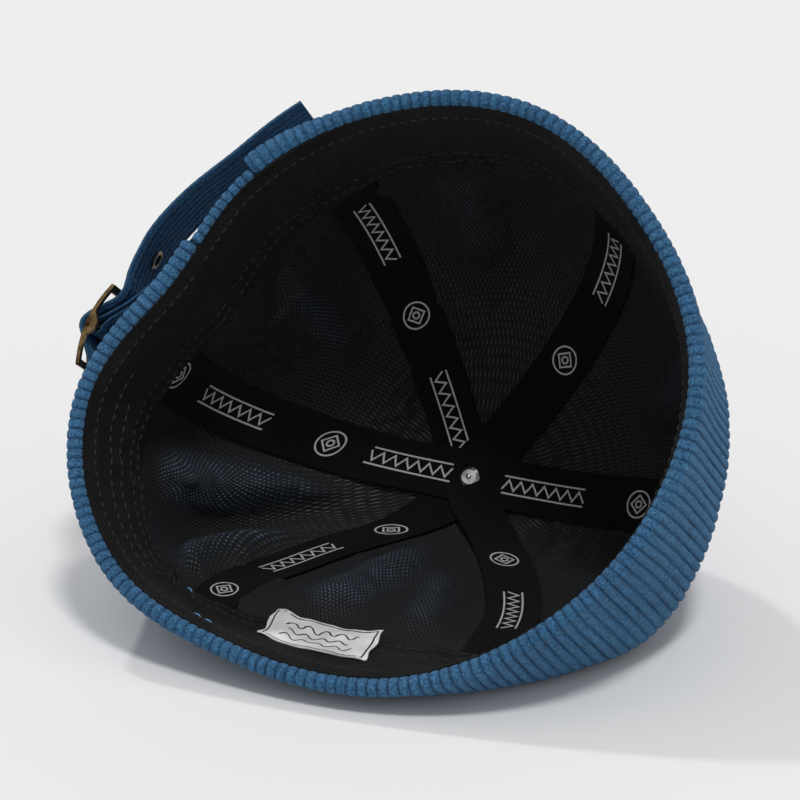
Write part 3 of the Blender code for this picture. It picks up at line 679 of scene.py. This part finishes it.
def make_button():
    """The covered button: a dome of corduroy, drawn in under its edge in small pleats."""
    turns = np.linspace(0.0, 2.0 * math.pi, 97)[None, :-1]
    arc = np.concatenate([np.linspace(0.02, 90.0, 26), np.linspace(100.0, 150.0, 6)])[:, None]
    slope, under = np.radians(arc), (arc - 90.0) / 60.0
    radius = np.where(arc <= 90.0, BUTTON_RADIUS * np.sin(slope), BUTTON_RADIUS - 1.2 * under)
    up = np.where(arc <= 90.0, BUTTON_EDGE + BUTTON_DOME * np.cos(slope), BUTTON_EDGE - 1.1 * under)
    x, y = radius * np.cos(turns), radius * np.sin(turns)
    ridge = wale(x / WALE_PITCH + 0.5)
    pleat = 0.22 * np.cos(BUTTON_PLEATS * turns) * smooth_step((arc - 60.0) / 40.0)
    lift = 0.45 * (ridge - 1.0) * np.cos(np.radians(np.minimum(arc, 90.0))) * 0.8
    shrink = 1.0 - 0.05 * (1.0 - ridge) + pleat / BUTTON_RADIUS - 0.04
    base = crown_centre(-0.7)
    places = base + (x * shrink)[..., None] * ACROSS - (y * shrink)[..., None] * UP_RIM
    places = places - (up + lift)[..., None] * OUT
    item = tube("covered_button", places, np.stack([x, y], -1), ridge)
    dress(item, CORDUROY, nodes=["crown_button"])


make_button()


# ---- lining
LINING_COLUMNS, LINING_ROWS, WALL_ROWS = 20, 44, 8
LINING_LOW, SEAM_HELD, SIM_STEPS, SMOOTHING = 10.0, 9.0, 24, 4
NET_THICKNESS, FOLD_LIMIT, DRIFT_LIMIT = 0.3, 15.0, 2.5


def lining_grid():
    """Over the whole lining: angles, lines, whether each point is held, and its room to rise into a fold."""
    columns = PANELS * LINING_COLUMNS
    angle = FIRST_SEAM + np.arange(columns + 1)[None, :] * 360.0 / columns
    share = np.linspace(0.0, 1.0, LINING_ROWS)[:, None]
    wall = np.linspace(LINING_LOW, WALL_HEIGHT, WALL_ROWS)[:-1, None] / WALL_HEIGHT
    dome = 1.0 + (hole_line(angle, 5.0) - 1.0) * np.linspace(0.0, 1.0, LINING_ROWS - WALL_ROWS + 1)[:, None]
    line = np.concatenate([wall + 0.0 * angle, dome])
    half = LINING_COLUMNS // 2
    from_seam = np.abs(np.mod(np.arange(columns + 1) + half, LINING_COLUMNS) - half)
    radius = rim_radius(angle) * profile(angle + 0.0 * line, line)[0]
    distance = radius * np.radians(from_seam * 360.0 / columns)[None, :]
    held = (distance < SEAM_HELD) | (line < 0.92) | (share > 0.93)
    return angle + 0.0 * line, line, held, smooth_step((distance - 8.0) / 12.0)


# folds that run down the lining: angle, half width and drift in degrees, first and last line, height
LINING_FOLDS = (
    (186.0, 6.0, -4.0, 0.95, 1.85, 13.0), (210.0, 5.0, 6.0, 0.95, 1.75, 10.0),
    (247.0, 7.5, 6.0, 1.0, 1.80, 9.0), (269.0, 4.5, -4.0, 1.0, 1.65, 6.0), (331.0, 4.5, 3.0, 1.05, 1.80, 8.0),
    (312.0, 5.5, -3.0, 1.0, 1.65, 6.0), (80.0, 7.0, 4.0, 1.0, 1.60, 4.0), (14.0, 7.0, -4.0, 1.0, 1.60, 4.5),
    (130.0, 8.0, 4.0, 1.05, 1.65, 5.0),
)


def fold_heights(angle, line):
    rise = np.zeros(angle.shape)
    for centre, wide, drift, first, last, height in LINING_FOLDS:
        share = (line - first) / (last - first)
        away = half_turn(angle - centre - drift * share) / (wide * (1.0 + 0.25 * share))
        ends = smooth_step(share / 0.22) * smooth_step((1.0 - share) / 0.45)
        rise = rise + height * np.exp(-(away**2)) * ends
    return rise


def drape_lining(angle, line, held, folds):
    """Lets the lining, cut larger than the crown, settle between its seams without losing its folds."""
    start = layer(angle, line, LINING_DEPTH + 0.3)
    normal = inward(angle, line)
    bump = 0.5 * (1.0 + wobble(angle * 0.16, line * 9.0, 5.0)) * ~held
    seeded = start + normal * (folds + bump)[..., None]
    rows, columns = angle.shape
    mesh = bpy.data.meshes.new("lining_sim")
    quads = cells(np.arange(rows * columns).reshape(rows, columns))
    mesh.from_pydata((seeded.reshape(-1, 3) * MM).tolist(), [], quads.tolist())
    cloth_item = bpy.data.objects.new("lining_sim", mesh)
    bpy.context.scene.collection.objects.link(cloth_item)
    group = cloth_item.vertex_groups.new(name="held")
    group.add([int(place) for place in np.flatnonzero(held)], 1.0, "REPLACE")
    cloth = cloth_item.modifiers.new("cloth", "CLOTH")
    settings = cloth.settings
    settings.quality = 6
    settings.mass = 0.12
    settings.tension_stiffness = 12.0
    settings.compression_stiffness = 12.0
    settings.bending_stiffness = 0.06
    settings.air_damping = 3.0
    settings.vertex_group_mass = "held"
    settings.shrink_min = -0.035
    settings.effector_weights.gravity = 0.25
    cloth.point_cache.frame_start = 1
    cloth.point_cache.frame_end = SIM_STEPS
    scene = bpy.context.scene
    for step in range(1, SIM_STEPS + 1):
        scene.frame_set(step)
    shaped = cloth_item.evaluated_get(bpy.context.evaluated_depsgraph_get())
    moved = np.array([vertex.co[:] for vertex in shaped.data.vertices]).reshape(rows, columns, 3) / MM
    bpy.data.objects.remove(cloth_item, do_unlink=True)
    scene.frame_set(1)
    shift = moved - start
    rise = np.einsum("ijk,ijk->ij", shift, normal)
    sideways = shift - normal * rise[..., None]
    length = np.linalg.norm(sideways, axis=-1, keepdims=True)
    sideways = sideways * np.minimum(1.0, DRIFT_LIMIT / np.maximum(length, 1e-6))
    rise = np.clip(np.maximum(rise, 0.9 * folds), 0.0, FOLD_LIMIT)
    return start + sideways + normal * rise[..., None]


def refine(values, times):
    """Catmull-Rom interpolation of a grid of values along both of its directions."""
    for axis in (0, 1):
        moved = np.moveaxis(values, axis, 0)
        padded = np.concatenate([2 * moved[:1] - moved[1:2], moved, 2 * moved[-1:] - moved[-2:-1]])
        place = np.linspace(0.0, len(moved) - 1.0, (len(moved) - 1) * times + 1)
        first = np.minimum(place.astype(int), len(moved) - 2)
        t = (place - first).reshape(-1, *([1] * (moved.ndim - 1)))
        near = [padded[first + step] for step in range(4)]
        values = np.moveaxis(catmull(*near, t), 0, axis)
    return values


def make_lining():
    angle, line, held, room = lining_grid()
    folds = fold_heights(angle, line) * room * ~held
    places = drape_lining(angle, line, held, folds)
    # fold heights as the mask for the net's painted light: brighter on fold ridges, painted shade away from
    # them
    ridge = smooth_step(folds / 9.0)
    thin = inward(angle, line) * NET_THICKNESS
    share, depth = profile(angle, line)
    radius = rim_radius(angle) * share
    for number in range(PANELS):
        part = slice(number * LINING_COLUMNS, (number + 1) * LINING_COLUMNS + 1)
        middle = FIRST_SEAM + (number + 0.5) * PANEL_ANGLE
        flat = np.stack([radius[:, part] * np.radians(angle[:, part] - middle), depth[:, part] * 1.15], -1)
        coarse = (places[:, part], (places - thin)[:, part], flat, ridge[:, part])
        grids = [refine(grid, SMOOTHING) for grid in coarse]
        item = slab(f"net_panel_{number + 1}", *grids)
        dress(item, NET, nodes=[f"lining_panel_{number + 1}"])


make_lining()


# ---- seam tapes and their generic printed figures
# how each tape is stacked where they cross, and where they end at the crown's centre
TAPE_ORDER = (3, 0, 4, 1, 5, 2)
TAPE_END = 2.6


def tape_lines(seam):
    """Distances from the crown's centre down the seam, with the line at each."""
    line = np.linspace(float(hole_line(np.array(seam), TAPE_END)), LINING_LOW / WALL_HEIGHT, 900)
    angle = np.full(900, seam)
    return run_along(crown_point(angle, line)) + TAPE_END, line


TAPE_LINES = [tape_lines(seam) for seam in SEAMS]


def tape_place(number, run, across, lift):
    """A place on a seam tape, by its distances from the crown's centre, from its middle and above it."""
    run, across = np.broadcast_arrays(np.asarray(run, float), across)
    line = np.interp(run, *TAPE_LINES[number])
    seam = np.full(line.shape, SEAMS[number])
    seam_radius = rim_radius(seam) * profile(seam, line)[0]
    angle = seam + np.degrees(np.arctan2(across, seam_radius))
    near_centre = smooth_step((34.0 - seam_radius) / 24.0)
    wide = seam_radius * (1.0 - near_centre) + np.hypot(seam_radius, across) * near_centre
    share = np.clip(wide / (rim_radius(angle) * (1.0 + bulge(angle))), 0.0, 1.0)
    line = np.where(near_centre > 0.0, dome_line(share) * near_centre + line * (1.0 - near_centre), line)
    stack = 0.26 * TAPE_ORDER[number] * smooth_step((46.0 - run) / 26.0)
    soft = 0.15 * wobble(run * 0.06, across * 0.05, 2.0 + number)
    return layer(angle, line, TAPE_DEPTH + 0.42 + stack + soft + lift)


def make_tape(number):
    runs = np.linspace(TAPE_END, TAPE_LINES[number][0][-1], 150)[:, None]
    half = np.array((0.0, 0.2, 0.5, 0.8, 0.9, 0.97, 1.0))
    half_selvage = np.array((0.0, 0.0, 0.0, 0.0, 0.04, 0.0, -0.16))
    across = 0.5 * TAPE_WIDTH * np.concatenate([-half[:0:-1], half])[None, :]
    selvage = np.concatenate([half_selvage[:0:-1], half_selvage])[None, :]
    front = tape_place(number, runs, across, selvage + 0.0 * runs)
    back = tape_place(number, runs, across, -0.22 + 0.0 * runs)
    uv = flat_places(runs, across)
    dress(slab(f"tape_{number + 1}", front, back, uv), TAPE, nodes=[f"seam_tape_{number + 1}"])


def stroke(points, width, closed):
    """Left and right edges of a drawn line in the flat."""
    points = np.asarray(points, float)
    if closed:
        ahead, behind = np.roll(points, -1, 0), np.roll(points, 1, 0)
    else:
        ahead = np.concatenate([points[1:], 2 * points[-1:] - points[-2:-1]])
        behind = np.concatenate([2 * points[:1] - points[1:2], points[:-1]])
    before, after = unit(points - behind), unit(ahead - points)
    middle = unit(before + after)
    side = np.stack([-middle[:, 1], middle[:, 0]], 1)
    stretch = 1.0 / np.maximum(0.5, np.einsum("ij,ij->i", middle, after))
    offset = side * (0.5 * width * stretch)[:, None]
    return points + offset, points - offset


def zigzag_border(length, height):
    """Two thin rules with a zigzag between them."""
    count = int(length / 4.2) * 2
    steps = np.linspace(-0.5 * length, 0.5 * length, count + 1)
    inner = 0.5 * height - 1.3
    rule = np.linspace(-0.5 * length, 0.5 * length, 30)
    lines = [(np.stack([rule, np.full(30, side * 0.5 * height)], 1), False) for side in (-1.0, 1.0)]
    wave = [(step, inner if place % 2 else -inner) for place, step in enumerate(steps)]
    fine = [wave[0]]
    for first, second in zip(wave, wave[1:]):
        fine.append((0.5 * (first[0] + second[0]), 0.5 * (first[1] + second[1])))
        fine.append(second)
    return lines + [(np.array(fine), False)]


def rosette(size):
    """A ring, a smaller ring and a square on its corner."""
    turns = np.linspace(0.0, 2.0 * math.pi, 41)[:-1]
    circle = np.stack([np.cos(turns), np.sin(turns)], 1)
    corners = np.array((
        (1.0, 0.0), (0.5, 0.5), (0.0, 1.0), (-0.5, 0.5), (-1.0, 0.0), (-0.5, -0.5), (0.0, -1.0), (0.5, -0.5),
    ))
    return [(circle * size * 0.5, True), (corners * size * 0.34, True), (circle * size * 0.12, True)]


def drawn(name, lines, place, width, thick, material):
    """Raised thin lines: place(x, y, lift) puts a flat point on the cloth."""
    parts, quads, count = [], [], 0
    for points, closed in lines:
        left, right = stroke(points, width, closed)
        ring = []
        for edge, lift in ((left, thick), (right, thick), (right, -0.06), (left, -0.06)):
            ring.append(place(edge[:, 0], edge[:, 1], lift))
        steps = len(points)
        index = count + np.arange(4 * steps).reshape(4, steps).T
        index = np.concatenate([index, index[:, :1]], 1)
        if closed:
            index = np.concatenate([index, index[:1]], 0)
        else:
            quads.append(index[0, :4][None, ::-1])
            quads.append(index[-1, :4][None, :])
        quads.append(cells(index))
        parts.append(np.concatenate(ring))
        count += 4 * steps
    item = make_mesh(name, np.concatenate(parts), np.concatenate(quads), round_angle=30.0)
    return dress(item, material)


# for each tape: whether a figure is a border strip, and its distance from the crown's centre
FIGURES = (
    ((True, 20.0), (False, 54.0), (True, 96.0), (False, 132.0)),
    ((True, 24.0), (False, 62.0), (True, 100.0)),
    ((True, 22.0), (False, 52.0), (True, 92.0), (False, 128.0)),
    ((False, 36.0), (True, 74.0), (False, 112.0)),
    ((False, 44.0), (True, 84.0)),
    ((True, 28.0), (False, 66.0), (True, 106.0)),
)
STRIP_LENGTH, STRIP_HEIGHT, ROSETTE_SIZE = 31.0, 6.2, 9.5


def make_figures(number):
    lines = []
    for is_strip, centre in FIGURES[number]:
        figure = zigzag_border(STRIP_LENGTH, STRIP_HEIGHT) if is_strip else rosette(ROSETTE_SIZE)
        for points, closed in figure:
            shifted = points + np.array((centre, 0.0))
            if shifted[:, 0].min() > TAPE_END + 2.5:
                lines.append((shifted, closed))
    place = functools.partial(tape_place, number)
    drawn(f"tape_figures_{number + 1}", lines, place, 0.62, 0.05, PRINT)


for tape in range(PANELS):
    make_tape(tape)
    make_figures(tape)


# ---- sweatband, stitches and label
# tucks in the sweatband: angle and half width in degrees, lean, height
BAND_TUCKS = (
    (104.0, 2.2, 0.30, 1.3), (110.0, 1.8, 0.34, 1.1), (98.0, 1.8, 0.22, 0.9), (217.0, 2.2, -0.3, 2.8),
    (222.5, 1.7, -0.2, 1.9), (72.0, 2.0, 0.1, 0.8), (286.0, 2.5, 0.2, 0.9), (330.0, 2.4, -0.2, 0.8),
    (190.0, 2.2, 0.15, 0.9),
)


def band_depth(angle, height):
    """Depth of the sweatband's face: sewn in under the rim, wavy towards its free edge."""
    free = smooth_step(height / BAND_HEIGHT)
    fold = 0.5 * (TUCK_DEPTH - CUFF_DEPTH)
    under = 0.5 * (TUCK_DEPTH + CUFF_DEPTH)
    under = under + np.sqrt(np.maximum(0.5, fold**2 - np.minimum(height, 0.0) ** 2))
    depth = under + 0.55 + (BAND_DEPTH + 0.7 - under - 0.55) * smooth_step(height / 5.0)
    waves = 0.55 * wobble(angle * 0.16, height * 0.10, 1.5) + 0.50 * wobble(angle * 0.42, height * 0.16, 6.0)
    depth = depth + waves * free
    for centre, wide, lean, rise in BAND_TUCKS:
        away = (half_turn(angle - centre) - lean * (height - 20.0)) / wide
        depth = depth + rise * np.exp(-(away**2)) * smooth_step((height - 2.0) / 16.0)
    hem = 0.45 * smooth_step((height - (BAND_HEIGHT - 5.0)) / 1.2)
    return depth + hem


def make_sweatband():
    angle = np.linspace(BAND_JOINT + 0.03, BAND_JOINT + 359.97, 1100)[None, :]
    top, wall, hem = np.linspace(-0.4, 0.2, 3), np.linspace(0.8, 33.0, 33), np.linspace(33.4, BAND_HEIGHT, 12)
    height = np.concatenate([top, wall, hem])[:, None]
    depth = band_depth(angle, height)
    edge = smooth_step((height - BAND_HEIGHT + 0.9) / 0.9)
    front = layer(angle, height / WALL_HEIGHT, depth - 0.35 * edge)
    back = layer(angle, height / WALL_HEIGHT, depth - 0.9 + 0.2 * edge)
    uv = flat_places(np.radians(angle) * WALL_RADIUS, height)
    dress(slab("sweatband_cloth", front, back, uv), BAND_TWILL, nodes=["sweatband"])


def make_stitches(name, points, normals, length, gap, radius, material, body="cap"):
    """A row of small thread loops along a line of points, each rising out of the cloth and back in."""
    run = run_along(points)
    count = int(run[-1] / (length + gap))
    rings, sides = 6, 6
    starts = np.arange(count)[:, None] * (length + gap)
    share = np.linspace(0.0, 1.0, rings)[None, :]
    wanted = starts + length * share
    centre = np.stack([np.interp(wanted, run, points[:, axis]) for axis in range(3)], -1)
    normal = unit(np.stack([np.interp(wanted, run, normals[:, axis]) for axis in range(3)], -1))
    along = unit(np.gradient(centre, axis=1))
    side = unit(np.cross(along, normal))
    arch = np.sin(math.pi * share)
    centre = centre + normal * (radius * (1.5 * arch - 0.7))[..., None]
    turn = np.linspace(0.0, 2.0 * math.pi, sides + 1)[:-1]
    ring = (
        side[:, :, None, :] * np.cos(turn)[None, None, :, None]
        + normal[:, :, None, :] * np.sin(turn)[None, None, :, None]
    )
    places = centre[:, :, None, :] + ring * (radius * (0.45 + 0.55 * arch))[..., None, None]
    index = np.arange(count * rings * sides).reshape(count, rings, sides)
    wrapped = np.concatenate([index, index[:, :, :1]], 2)
    quads = np.concatenate([cells(one) for one in wrapped])
    caps = [one[0][::-1] for one in index] + [one[-1] for one in index]
    item = make_mesh(name, places, quads, caps)
    return dress(item, material, body)


def band_stitches(name, height, length, material, start=BAND_JOINT + 1.0, end=BAND_JOINT + 359.0):
    angle = np.linspace(start, end, 1500)
    level = np.full(angle.shape, height)
    points = layer(angle, level / WALL_HEIGHT, band_depth(angle, level))
    normals = inward(angle, level / WALL_HEIGHT)
    make_stitches(name, points, normals, length, 1.1, 0.24, material)


make_sweatband()
for row_name, row_height in (("rim_stitches", 4.0), ("band_stitches", 29.5), ("hem_stitches", 34.2)):
    band_stitches(row_name, row_height, 2.4, BLACK_THREAD)
band_stitches("rear_stitches_1", 13.5, 2.6, GREY_THREAD, 170.0, 214.0)
band_stitches("rear_stitches_2", 21.0, 2.6, GREY_THREAD, 176.0, 220.0)
band_stitches("blue_tack_left", 33.0, 3.4, BLUE_THREAD, 219.0, 224.5)
band_stitches("blue_tack_low", 7.0, 3.0, BLUE_THREAD, 229.0, 236.0)

LABEL_HALF_WIDTH, LABEL_HALF_HEIGHT, LABEL_INSET = 19.4, 11.2, 1.4
LABEL_MIDDLE, LABEL_HEIGHT = 0.5 * (LABEL_START + LABEL_END) - 1.0, 29.5


def label_place(across, up, lift):
    """A place on the label by flat distances from its middle, in millimetres."""
    across, up = np.broadcast_arrays(np.asarray(across, float), up)
    angle = LABEL_MIDDLE + np.degrees(across / 94.0)
    height = LABEL_HEIGHT + up
    curl = 1.6 * smooth_step((np.abs(across) - 10.0) / 8.0) * smooth_step((up + 2.0) / 12.0)
    soft = 0.35 * wobble(across * 0.22, up * 0.2, 8.0)
    depth = band_depth(angle, np.minimum(height, BAND_HEIGHT)) + 0.85 + curl + soft + lift
    return layer(angle, height / WALL_HEIGHT, depth)


def make_label():
    """A woven label with a thin border and three wavy lines."""
    across = np.linspace(-LABEL_HALF_WIDTH, LABEL_HALF_WIDTH, 60)[None, :]
    up = np.linspace(-LABEL_HALF_HEIGHT, LABEL_HALF_HEIGHT, 34)[:, None]
    wave = 1.0 + 0.02 * np.sin(up * 0.5)
    front = label_place(across * wave, up, 0.0 * across)
    back = label_place(across * wave, up, -0.35 + 0.0 * across)
    uv = flat_places(across, up)
    dress(slab("care_label", front, back, uv), SATIN, nodes=["woven_label"])
    wide, tall = LABEL_HALF_WIDTH - LABEL_INSET, LABEL_HALF_HEIGHT - LABEL_INSET
    corners = np.array(((-wide, -tall), (wide, -tall), (wide, tall), (-wide, tall)))
    shares = np.linspace(0.0, 1.0, 16)[:-1, None]
    sides = [first + (second - first) * shares for first, second in zip(corners, np.roll(corners, -1, 0))]
    lines = [(np.concatenate(sides), True)]
    for level, reach in ((4.4, 13.0), (0.0, 11.0), (-4.4, 13.0)):
        x = np.linspace(-reach, reach, 80)
        lines.append((np.stack([x, level + 1.1 * np.sin(x * 1.05)], 1), False))
    drawn("label_waves", lines, label_place, 0.55, 0.06, INK)


make_label()


# ---- strap, tab and buckle
def strap_axes():
    """Where the strap's routes start, and the directions along it, out of it and across it."""
    turn, tilt, slope = math.radians(STRAP_ANGLE), math.radians(STRAP_TILT), math.radians(BUCKLE_SLOPE)
    along = ACROSS * math.sin(turn) - UP_RIM * math.cos(turn)
    radial = ACROSS * math.cos(turn) + UP_RIM * math.sin(turn)
    outward = radial * math.cos(tilt) + OUT * math.sin(tilt)
    edgeward = OUT * math.cos(tilt) - radial * math.sin(tilt)
    base = RIM_CENTRE + radial * STRAP_PIVOT + OUT * STRAP_NEAR_EDGE
    base = base + along * BUCKLE_ALONG + outward * (BUCKLE_OUT - STRAP_PIVOT) - edgeward * 0.5 * STRAP_WIDTH
    chord = along * math.cos(slope) + outward * math.sin(slope)
    return base, chord, outward * math.cos(slope) - along * math.sin(slope), edgeward


STRAP_BASE, CHORD, LIFT, EDGEWARD = strap_axes()


def smooth_route(points, steps):
    ends = [np.array(point, float) for point in points]
    ends = [2 * ends[0] - ends[1]] + ends + [2 * ends[-1] - ends[-2]]
    route = []
    for first in range(len(ends) - 3):
        route += [catmull(*ends[first:first + 4], step / steps) for step in range(steps)]
    return np.array(route + [ends[-2]])


ROUTE_STEP, STRAP_WALES, STITCH_INSET = 0.55, 8, 3.0
STRAP_WALE_RISE, TAB_WALE_RISE = 0.55, 0.25


def resample(route):
    """Even points along a strap's route, its direction out of the strap at each, and their distances."""
    run = run_along(route)
    wanted = np.linspace(0.0, run[-1], int(run[-1] / ROUTE_STEP) + 1)
    route = np.stack([np.interp(wanted, run, route[:, axis]) for axis in range(2)], 1)
    tangent = unit(np.gradient(route, axis=0))
    return route, np.stack([-tangent[:, 1], tangent[:, 0]], 1), wanted


def on_strap(flat, across):
    """The place of a route's flat point, a distance across the strap."""
    return STRAP_BASE + flat[..., :1] * CHORD + flat[..., 1:] * LIFT + across * EDGEWARD


def make_ribbon(name, route, cloth, wale_rise, body, node):
    """A folded strap of corduroy: wales run along it, and its long edges are round."""
    route, side, run = resample(route)
    half = 0.5 * STRAP_WIDTH
    edge = 0.5 * cloth
    flat = np.linspace(-half + edge, half - edge, 72)
    turn = np.radians(np.linspace(0.0, 180.0, 9)[1:-1])
    bend, thick = edge * np.sin(turn), np.full(72, edge)
    across = np.concatenate([flat, half - edge + bend, flat[::-1], -half + edge - bend])[None, :]
    lift = np.concatenate([thick, edge * np.cos(turn), -thick, -edge * np.cos(turn)])[None, :]
    pitch = (STRAP_WIDTH - 1.0) / STRAP_WALES
    ridge = pile(across / pitch + 0.0 * run[:, None], run[:, None], 1.0)
    seam = np.exp(-(((np.abs(across) - half + STITCH_INSET) / 0.5) ** 2))
    drop = wale_rise * (1.0 - ridge) + 0.35 * seam
    ends = np.minimum(run, run[-1] - run)[:, None]
    swing = 0.22 * wobble(run[:, None] * 0.12, across * 0.06, 3.3)
    height = lift - np.sign(lift) * drop + swing * smooth_step(ends / 6.0)
    places = on_strap(route[:, None, :] + side[:, None, :] * height[..., None], across[..., None])
    uv = flat_places(across, run[:, None])
    return dress(tube(name, places, uv, ridge), SHADED_STRAP_CORDUROY, body, [node])


def strap_stitches(name, route, cloth, body):
    """Two rows of edge stitches on each of a strap's faces."""
    route, side, _ = resample(route)
    edge = 0.5 * STRAP_WIDTH - STITCH_INSET
    made = []
    for face_number, face in enumerate((1.0, -1.0)):
        for edge_number, across in enumerate((-edge, edge)):
            points = on_strap(route + side * face * (0.5 * cloth - 0.4), across)
            normals = side[:, :1] * CHORD * face + side[:, 1:] * LIFT * face
            made.append(make_stitches(
                f"{name}_{face_number + 1}_{edge_number + 1}", points, normals, 2.3, 0.9, 0.26, NAVY_THREAD,
                body,
            ))
    return made


def blend_tail(item):
    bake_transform(item)


band_curve = smooth_route(BAND_ROUTE, 8)
tail_curve = smooth_route(TAIL_ROUTE, 8)
make_ribbon("strap_cloth", band_curve, STRAP_CLOTH, STRAP_WALE_RISE, "cap", "strap_band")
blend_tail(make_ribbon("strap_end_cloth", tail_curve, STRAP_CLOTH, STRAP_WALE_RISE, None, "strap_tail"))
for stitched in strap_stitches("tail_stitches", tail_curve, STRAP_CLOTH, None):
    blend_tail(stitched)
strap_stitches("strap_stitches", band_curve, STRAP_CLOTH, "cap")


def make_tab():
    """The doubled tab: in along its outer leg, round the buckle's bar and back."""
    turns = np.radians(np.linspace(40.0, 290.0, 25))
    loop = np.stack([TAB_LOOP_RADIUS * np.cos(turns), BAR_HEIGHT + TAB_LOOP_RADIUS * np.sin(turns)], 1)
    outer = smooth_route(TAB_OUTER_LEG, 8)
    inner = smooth_route(TAB_INNER_LEG, 6)
    route = np.concatenate([outer, loop, inner])
    make_ribbon("buckle_tab_cloth", route, TAB_CLOTH, TAB_WALE_RISE, "cap", "buckle_tab")


make_tab()


def refinish(node, material, bevel=0.0):
    """Keeps a CAD part as it is, with its own material and its edges softened."""
    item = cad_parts[node]
    item.data.materials.clear()
    item.data.materials.append(material)
    if bevel:
        soften = item.modifiers.new("soft_edges", "BEVEL")
        soften.width = bevel * MM
        soften.segments = 2
        soften.limit_method = "ANGLE"
        soften.angle_limit = math.radians(35.0)
        soften.use_clamp_overlap = True


refinish("buckle_frame", BRASS, 0.25)
refinish("buckle_prong", BRASS)
refinish("eyelet_in_use", EYELET)
refinish("eyelet_spare", EYELET)
refinish("button_rivet", STEEL)
